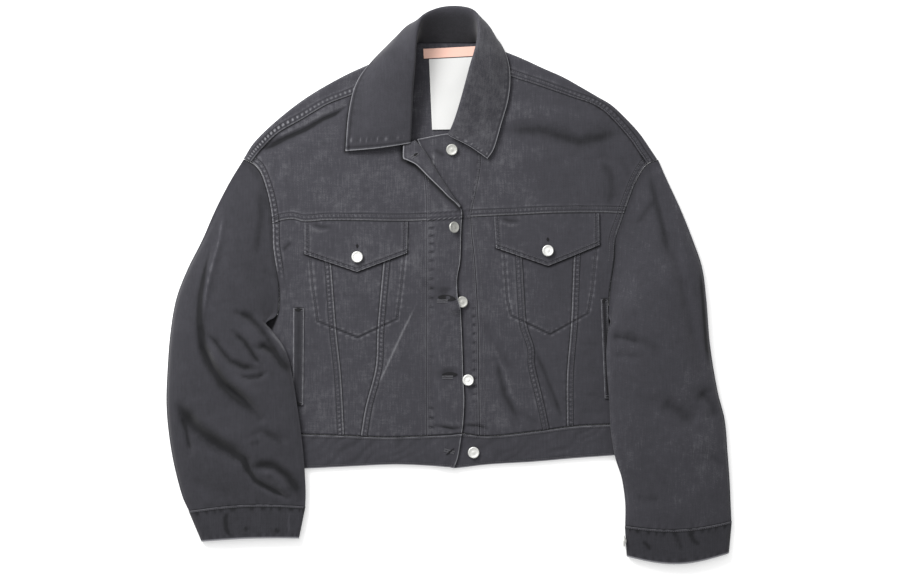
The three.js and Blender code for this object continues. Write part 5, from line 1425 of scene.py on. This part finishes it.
def tape(name, node, corners, material):
    layout = between(polyline(corners[:2]), polyline([corners[3], corners[2]]),
                     polyline([corners[0], corners[3]]), polyline([corners[1], corners[2]]))

    def middle(s, t):
        place = layout(s, t)
        x, y = place[..., 0], place[..., 1]
        z = 2.6 + 0.35 * noise(x, y, 22, 41) + 0.5 * bell(s, 0, 0.07) + 0.5 * bell(s, 1, 0.07)
        return np.concatenate([place, z[..., None]], axis=-1)
    wide = math.dist(corners[0], corners[1])
    tall = math.dist(corners[0], corners[3])
    cloth = Cloth(middle, lambda s, t: np.zeros(np.shape(s)), TAPE, spread(wide, 2), spread(tall, 2))
    piece = make_cloth(name, node, [cloth], material)
    return piece


# Sleeves and cuffs

def lift_under(side, x, y):
    if side == "right":
        hold = lerp(SLEEVE_LIFT, CUFF_BUTTON_LIFT, smooth(-245, -285, y))
        return hold * smooth(-282, -250, x) * smooth(-36, -52, y)
    return SLEEVE_LIFT * (1 - smooth(256, 290, x)) * smooth(-38, -52, y) * (1 - smooth(-240, -286, y))


def sleeve_place(side, step, s):
    rows = SLEEVE_RIGHT if side == "right" else SLEEVE_LEFT
    armhole = SIDE_RIGHT if side == "right" else SIDE_LEFT
    apart = -0.5 if side == "right" else 0.5
    last = len(rows) - 1
    start = rows[0]
    outer = [value_at(column(rows, k), step) for k in (0, 1)]
    inner = [value_at(column(rows, k), step) for k in (2, 3)]
    fade = 1 - smooth(0, 4, step)
    seam_y = lerp(start[1], start[3], s)
    bend = value_at(armhole, seam_y) + apart - lerp(start[0], start[2], s)
    x = lerp(outer[0], inner[0], s) + fade * bend
    bow = SLEEVE_END_BOW[side] * np.sin(math.pi * s) * smooth(last - 3, last, step)
    y = lerp(outer[1], inner[1], s) - fade * 0.4 * (1 - s) + bow
    return x, y


EDGE_TURN = [(0, 0), (0.15, 0.4), (1.3, 0.78), (4, 1)]


def sleeve(side):
    rows = SLEEVE_RIGHT if side == "right" else SLEEVE_LEFT
    last = len(rows) - 1
    folds = SLEEVE_FOLDS[side]

    def width_at(step):
        out_x, out_y = sleeve_place(side, step, np.zeros(np.shape(step)))
        in_x, in_y = sleeve_place(side, step, np.ones(np.shape(step)))
        return np.hypot(out_x - in_x, out_y - in_y)

    def ground(s, t):
        step = np.asarray(t, float) * last
        x, y = sleeve_place(side, step, s)
        under = DENIM / 2 + lift_under(side, x, y)
        return step, x, y, under, under + lerp(2.1, 2.8, smooth(0, 2, step))

    def top(s, t):
        step, x, y, under, edge = ground(s, t)
        reach = np.minimum(s, 1 - s) * width_at(step)
        hump = np.sqrt(np.clip(4 * s * (1 - s), 0, 1)) ** 0.85
        inside = smooth(2, 22, reach) * smooth(0, 3, step)
        soft = 0.5 * noise(x, y, 30, 51) + 0.25 * noise(x, y, 12, 52)
        shaped = edge + (value_at(column(rows, 4), step) - edge) * hump + (relief(folds, x, y) + soft) * inside
        near = front_under(x, y) + DENIM / 2
        level = np.maximum(lerp(near, shaped, smooth(0, 3.2, step)), under + DENIM + 1.2)
        stand = edge + 0.3 + 1.2 * np.minimum(1, reach / 0.15)
        z = lerp(stand, np.maximum(level, stand), smooth(0.15, 4, reach))
        near_cuff = (1 - t) * 480
        z = z + 0.5 * np.sin(s * 62 + 2 * np.sin(s * 19)) * bell(near_cuff, 3, 9) * inside
        return np.stack([x, y, z], axis=-1)

    def top_pale(s, t):
        step, x, y, _, _ = ground(s, t)
        reach = np.minimum(s, 1 - s) * width_at(step)
        # Painted highlight on ridges and painted shade in troughs, then the fine lines; the fold edges are paler from
        # wear; both ends have a line of painted shade where the sleeve meets the body and the cuff.
        pale = wash_and_shade(x, y, []) + 0.03 * relief(folds, x, y) * smooth(0, 3, step)
        pale = pale + fine_lines(SLEEVE_LINES[side], x, y) + 0.1 * bell(reach, 1, 3.5)
        pale = pale - 1.3 * bell(t * 480, 0, 1.8) - 0.3 * bell(t * 480, 6, 7)
        return pale - 1.2 * bell((1 - t) * 480, 0, 1.8)

    def bottom(s, t):
        step, x, y, under, edge = ground(s, t)
        reach = np.minimum(s, 1 - s) * width_at(step)
        z = lerp(edge - 0.3, under, value_at(EDGE_TURN, reach))
        return np.stack([x, y, z], axis=-1)

    def bottom_pale(s, t):
        _, x, y, _, _ = ground(s, t)
        return wash_and_shade(x, y, [])
    fine = (0, 0.15, 0.6, 1.3, 2.4, 4, 6)
    upper = Cloth(top, top_pale, DENIM, spread(160, 2.0, fine), spread(490, 2.4))
    lower = Cloth(bottom, bottom_pale, DENIM, spread(160, 6, fine), spread(490, 6), outward=-1)
    material = sleeve_denim[side]
    return (make_cloth(f"cloth_sleeve_top_{side}", f"sleeve_top_{side}", [upper], material),
            make_cloth(f"cloth_sleeve_under_{side}", f"sleeve_under_{side}", [lower], material), upper)


def cuff(side):
    rows = SLEEVE_RIGHT if side == "right" else SLEEVE_LEFT
    last = len(rows) - 1
    out_x, out_y, in_x, in_y, bow = CUFF_ENDS[side]
    half = CUFF_CLOTH / 2

    def middle(a, t):
        """a runs once round the cuff: over the top from the outer edge, and back underneath."""
        a = np.asarray(a, float) % 1.0
        upper = a < 0.5
        angle = np.where(upper, a * 2, (1 - a) * 2) * math.pi
        s = (1 - np.cos(angle)) / 2
        x0, y0 = sleeve_place(side, np.full(np.shape(s), float(last)), s)
        x1 = lerp(out_x, in_x, s)
        y1 = lerp(out_y, in_y, s) + bow * np.sin(math.pi * s)
        x, y = lerp(x0, x1, t), lerp(y0, y1, t)
        under = half + lift_under(side, x, y)
        edge = under + 2.9
        dome = edge + (CUFF_CROWN - edge) * np.sin(angle) ** 0.5
        dome = dome + 0.3 * noise(x, y, 16, 61)
        z = lerp(edge, np.where(upper, dome, under), np.minimum(1, np.sin(angle) / 0.35))
        return np.stack([x, y, z], axis=-1)

    def pale(a, t):
        points = middle(a, t)
        long = t * 42
        waves = np.sin(np.asarray(a) * 180 + 2 * np.sin(np.asarray(a) * 40))
        # Bright rims are edge wear; the dark dashes under the top row of stitches, the dark line in its stitch groove
        # and the dark fine lines are painted shade.
        wear_and_shade = wash_and_shade(points[..., 0], points[..., 1], []) + 0.95 * bell(long, 0.5, 0.75)
        wear_and_shade = wear_and_shade + 2.2 * bell(42 - long, 0.8, 1.3) - 0.6 * np.clip(waves, 0, 1) * bell(long, 5, 2.8)
        wear_and_shade = wear_and_shade + fine_lines(CUFF_LINES[side], points[..., 0], points[..., 1])
        return wear_and_shade + 0.25 * waves * bell(42 - long, 4.5, 2.5) - 0.5 * bell(long, 3, 1.1)
    around = np.linspace(0, 1, 150, endpoint=False)
    cloth = Cloth(middle, pale, CUFF_CLOTH, around, spread(42, 2.0))

    def shell():
        points = middle(cloth.s, cloth.t)
        along = np.gradient(points, axis=0)
        across = np.roll(points, -1, axis=1) - np.roll(points, 1, axis=1)
        normal = np.cross(across, along)
        normal /= np.maximum(np.linalg.norm(normal, axis=-1, keepdims=True), 1e-9)
        return points + normal * half, points - normal * half, pale(cloth.s, cloth.t)
    cloth.shell = shell
    piece = make_cloth(f"cloth_cuff_{side}", f"cuff_{side}", [cloth], cuff_denim, wrap=True)
    probe = cloth.line(np.array([0.25]), np.array([0.5]))[1]
    cloth.outward = 1 if probe[0][2] > 0 else -1
    run = np.linspace(0.03, 0.47, 200)
    for share in (0.05, 0.95):
        sew(cloth, run, share)
    return piece


# Buttons and buttonholes

def button_mesh():
    """A shank button: a rolled rim, a dished face with a low centre, and a stem."""
    r, h = BUTTON_RADIUS, BUTTON_HEIGHT
    profile = [(0.01, h - 0.4), (1.2, h - 0.36), (1.9, h - 0.5), (2.6, h - 0.6), (4.6, h - 0.58),
               (5.6, h - 0.3), (6.2, h - 0.08), (6.8, h), (7.3, h - 0.3), (r - 0.1, h - 1.1), (r, h - 1.6),
               (7.4, h - 2.2), (6.8, h - 2.6), (4.2, h - 2.9), (3.4, h - 3.2), (3.2, 0), (0.01, 0)]
    count = 64
    angle = np.arange(count) / count * 2 * math.pi
    points = np.array([[(radius * math.cos(a), radius * math.sin(a), z) for a in angle] for radius, z in profile])
    faces = grid_faces(len(profile), count, 0, True)[:, ::-1]
    return points.reshape(-1, 3), faces


def button(name, place, tilt=(0, 0), finish=None):
    points, faces = button_mesh()
    ax, ay = (math.radians(value) for value in tilt)
    turn_x = np.array([[1, 0, 0], [0, math.cos(ax), -math.sin(ax)], [0, math.sin(ax), math.cos(ax)]])
    turn_y = np.array([[math.cos(ay), 0, math.sin(ay)], [0, 1, 0], [-math.sin(ay), 0, math.cos(ay)]])
    points = points @ (turn_y @ turn_x).T + np.array(place)
    piece = make_mesh("metal_" + name, points, faces, finish or metal, sharp=60)
    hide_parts(name)
    return piece


def buttonhole(cloth_height, x, y, angle, length=19, width=4.6):
    """A bound slit: thread wound round both sides, with a round eye at one end."""
    turn = math.radians(angle)
    along = np.array([math.cos(turn), math.sin(turn)])
    side = np.array([-math.sin(turn), math.cos(turn)])
    rows = []
    up = np.array([0, 0, 1.0])
    for sign in (-1, 1):
        for k in range(26):
            u = -length / 2 + (k + 0.5) * length / 26
            eye = 0.9 * math.exp(-(((u - length / 2 + 2) / 1.8) ** 2))
            inner = np.array([x, y]) + along * u + side * sign * (0.35 + eye)
            outer = np.array([x, y]) + along * u + side * sign * (width / 2 + eye * 0.6)
            line = np.array([inner, outer])
            z = cloth_height(line[:, 0], line[:, 1])
            points = np.concatenate([line, z[:, None] + 0.15], axis=1)
            rows.append((points, np.tile(up, (2, 1)), 1.9, 0.98, 0.75))
    return rows


SECOND_RISE = 2.4


def buttons():
    on_left = lambda x, y: float(front_under(np.array(x), np.array(y))) + DOUBLED + 0.3
    on_right = lambda x, y: float(lapped_under(np.array(x), np.array(y))) + DOUBLED + 0.3
    on_flap = lambda x, y: float(front_under(np.array(x), np.array(y))) + DENIM + CLEAR + DOUBLED + 0.2
    plan = [
        ("button_front_1", 4.1, 185.6, on_left, (2, -3)), ("button_front_2", 5.4, 80, on_right, (-4, 32)),
        ("button_front_3", 17.7, -21, on_left, (0, 4)), ("button_front_4", 26, -127, on_left, (-2, 0)),
        ("button_front_5", 33.3, -225, on_left, (2, 2)), ("button_flap_right", -124.4, 40, on_flap, (-3, 0)),
        ("button_flap_left", 134, 48.5, on_flap, (-2, 2)),
    ]
    for name, x, y, on, tilt in plan:
        # The first three buttons take the duller metal, darker as painted shade.
        wear_and_shade = name in ("button_front_1", "button_front_2", "button_front_3")
        button(name, (x, y, on(x, y) + SECOND_RISE * (name == "button_front_2")), tilt, shaded_worn_metal if wear_and_shade else metal)
    button("button_cuff_left", (240.2, -345, BUTTON_RADIUS + 0.1), (0, -90))
    button("button_cuff_right", (-219, -320, BUTTON_HEIGHT), (180, 0))


# The pieces

pieces = {}
pieces.update(dict(front_panels()))
pieces.update(dict(front_yokes()))
pieces.update(dict(back_pieces()))
pieces["placket_right"], right_band, corner = placket_right()
pieces["placket_left"], left_band = placket_left()
pieces["waistband"] = waistband()
pieces["collar"] = collar()
for side in ("right", "left"):
    pieces[f"pocket_flap_{side}"] = flap(side)
    pieces[f"pocket_bag_{side}"] = bag(side)
    pieces[f"welt_{side}"] = welt(side)
    pieces[f"sleeve_top_{side}"], pieces[f"sleeve_under_{side}"], _ = sleeve(side)
    pieces[f"cuff_{side}"] = cuff(side)
pieces["label_neck"] = tape("tape_label_neck", "label_neck", NECK_LABEL, pink_tape)
pieces["label_care"] = tape("tape_label_care", "label_care", CARE_LABEL, white_tape)
buttons()


def right_band_top(x, y):
    return lapped_under(x, y) + DOUBLED + 0.15


def corner_top(x, y):
    return np.full(np.shape(x), float(lapped_under(np.array(-30.0), np.array(176.0))) + 5.8)


def flap_top(x, y):
    return front_under(x, y) + DENIM + CLEAR + DOUBLED


def welt_top(x, y):
    return front_under(x, y) + 2 * DENIM + 0.4


def gape(height_at, x, y, angle, length, width):
    """The dark lens of a hole that stands a little open: a sheet of painted shade."""
    u = np.linspace(-1, 1, 21)
    turn = math.radians(angle)
    along = np.array([math.cos(turn), math.sin(turn)])
    across = np.array([-math.sin(turn), math.cos(turn)])
    half = (width / 2 * (1 - u ** 2) ** 0.8)[:, None] * across
    line = np.array([x, y]) + (length / 2 * u)[:, None] * along
    points = np.concatenate([line - half, line + half])
    z = height_at(points[:, 0], points[:, 1]) + 0.5
    faces = grid_faces(2, 21, 0, False)
    return np.concatenate([points, (z * np.ones(len(points)))[:, None]], axis=1), faces


hole_points, hole_faces, hole_start = [], [], 0
for place in ((right_band_top, -3, -15.5, -6, 25, 8.5), (right_band_top, 1, -119.5, 2, 22, 7),
              (right_band_top, 1.5, -224, 40, 15, 2.4), (corner_top, -45, 178.8, 35, 7, 3.4),
              (flap_top, -124.4, 55, 90, 5.5, 3.4), (flap_top, 134, 64, 90, 5.5, 3.4),
              (welt_top, -204.5, -31.5, 4, 10, 4.5), (welt_top, -205, -159, -4, 9, 5),
              (welt_top, 210.5, -19, 60, 8, 4)):
    points, faces = gape(*place)
    hole_points.append(points)
    hole_faces.append(faces + hole_start)
    hole_start += len(points)
holes = make_mesh("shade_in_buttonholes", np.concatenate(hole_points), np.concatenate(hole_faces), hole_shade)

for x, y, angle in BUTTONHOLES:
    stitch_rows.extend(buttonhole(right_band_top, x, y, angle))
stitch_rows.extend(buttonhole(corner_top, *CORNER_BUTTONHOLE, length=17))
stitch_rows.extend(buttonhole(flap_top, -124.4, 54.5, 90, length=12, width=3.4))
stitch_rows.extend(buttonhole(flap_top, 134, 63, 90, length=12, width=3.4))
for places in BAGS.values():
    for side_places in (places[:3], places[4:]):
        line = polyline(side_places)(np.linspace(0, 1, 120))
        z = front_under(line[:, 0], line[:, 1]) + DENIM - 0.25
        stitch_rows.append((np.concatenate([line, z[:, None]], axis=1), np.tile([0, 0, 1.0], (120, 1)),
                            STITCH_PITCH, 0.68, 0.5))

stitch_points, stitch_faces = stitches_mesh(stitch_rows)
stitches = make_mesh("thread_stitches", stitch_points, stitch_faces, thread)

# Cut sizes of the cloth, in metres: width, length, and area where the cut isn't a rectangle
CUTS = {
    "front_side_right": (0.098, 0.292, 0.0250), "front_middle_right": (0.083, 0.296, 0.0155),
    "front_centre_right": (0.09, 0.296, 0.0205), "front_centre_left": (0.107, 0.302, 0.0220),
    "front_middle_left": (0.078, 0.297, 0.0160), "front_side_left": (0.086, 0.292, 0.0195),
    "front_yoke_right": (0.24, 0.204, 0.0340), "front_yoke_left": (0.242, 0.206, 0.0345),
    "back_panel": (0.49, 0.306, 0.1430), "back_yoke": (0.56, 0.26, 0.1210),
    "placket_right": (0.095, 0.402, 0.0200), "placket_left": (0.088, 0.455, 0.0200),
    "waistband": (0.985, 0.042, None), "collar": (0.49, 0.105, 0.0420),
    "pocket_flap_right": (0.14, 0.07, 0.0078), "pocket_flap_left": (0.143, 0.07, 0.0078),
    "pocket_bag_right": (0.132, 0.131, 0.0140), "pocket_bag_left": (0.128, 0.127, 0.0130),
    "welt_right": (0.015, 0.134, None), "welt_left": (0.01, 0.137, None),
    "sleeve_top_right": (0.18, 0.5, 0.0700), "sleeve_top_left": (0.17, 0.5, 0.0680),
    "sleeve_under_right": (0.18, 0.5, 0.0660), "sleeve_under_left": (0.17, 0.5, 0.0640),
    "cuff_right": (0.315, 0.045, None), "cuff_left": (0.295, 0.045, None),
    "label_neck": (0.07, 0.014, None), "label_care": (0.06, 0.098, None),
}

bpy.ops.mesh.primitive_plane_add(size=8, location=(0, 0, -0.0002))
floor = bpy.context.object
floor.name = "floor"
floor_material, floor_tree, floor_shader = new_material("floor paper")
floor_nodes = Nodes(floor_tree)
floor_tint = floor_nodes.ramp(floor_nodes.noise(3, 2), [(0.3, (0.88, 0.88, 0.88)), (0.7, (0.9, 0.9, 0.9))])
floor_tree.links.new(floor_tint, floor_shader.inputs["Base Color"])
floor_tree.links.new(floor_tint, floor_shader.inputs["Emission Color"])
floor_shader.inputs["Emission Strength"].default_value = 0.38
floor_shader.inputs["Roughness"].default_value = 0.9
floor.data.materials.append(floor_material)

for name, piece in pieces.items():
    wide, long, area = CUTS[name]

# Camera straight above, and soft light from the top of the frame
VIEW_WIDTH = 1.224
LENS, SENSOR = 85, 36
camera_data = bpy.data.cameras.new("camera")
camera_data.lens = LENS
camera_data.sensor_width = SENSOR
camera = bpy.data.objects.new("camera", camera_data)
camera.location = ((1.4 + shift[0]) * MM, (-2.0 + shift[1]) * MM, VIEW_WIDTH * LENS / SENSOR)
bpy.context.scene.collection.objects.link(camera)
bpy.context.scene.camera = camera


def soft_light(name, place, aim, size, power):
    data = bpy.data.lights.new(name, "AREA")
    data.shape = "RECTANGLE"
    data.size, data.size_y = size
    data.energy = power
    light = bpy.data.objects.new(name, data)
    light.location = place
    direction = np.array(aim, float) - np.array(place, float)
    yaw = math.atan2(direction[1], direction[0])
    pitch = math.atan2(math.hypot(direction[0], direction[1]), -direction[2])
    light.rotation_euler = (pitch, 0, yaw - math.pi / 2)
    bpy.context.scene.collection.objects.link(light)


soft_light("key", (-0.9, 1.15, 1.0), (-0.1, 0.1, 0), (0.8, 0.6), 34)
soft_light("fill", (-0.4, 0.7, 2.2), (0, 0, 0), (2.0, 2.0), 18)
world = bpy.data.worlds.new("studio")
world.use_nodes = True
world.node_tree.nodes["Background"].inputs["Color"].default_value = (1, 1, 1, 1)
world.node_tree.nodes["Background"].inputs["Strength"].default_value = 0.5
bpy.context.scene.world = world
bpy.context.scene.view_settings.view_transform = "Standard"
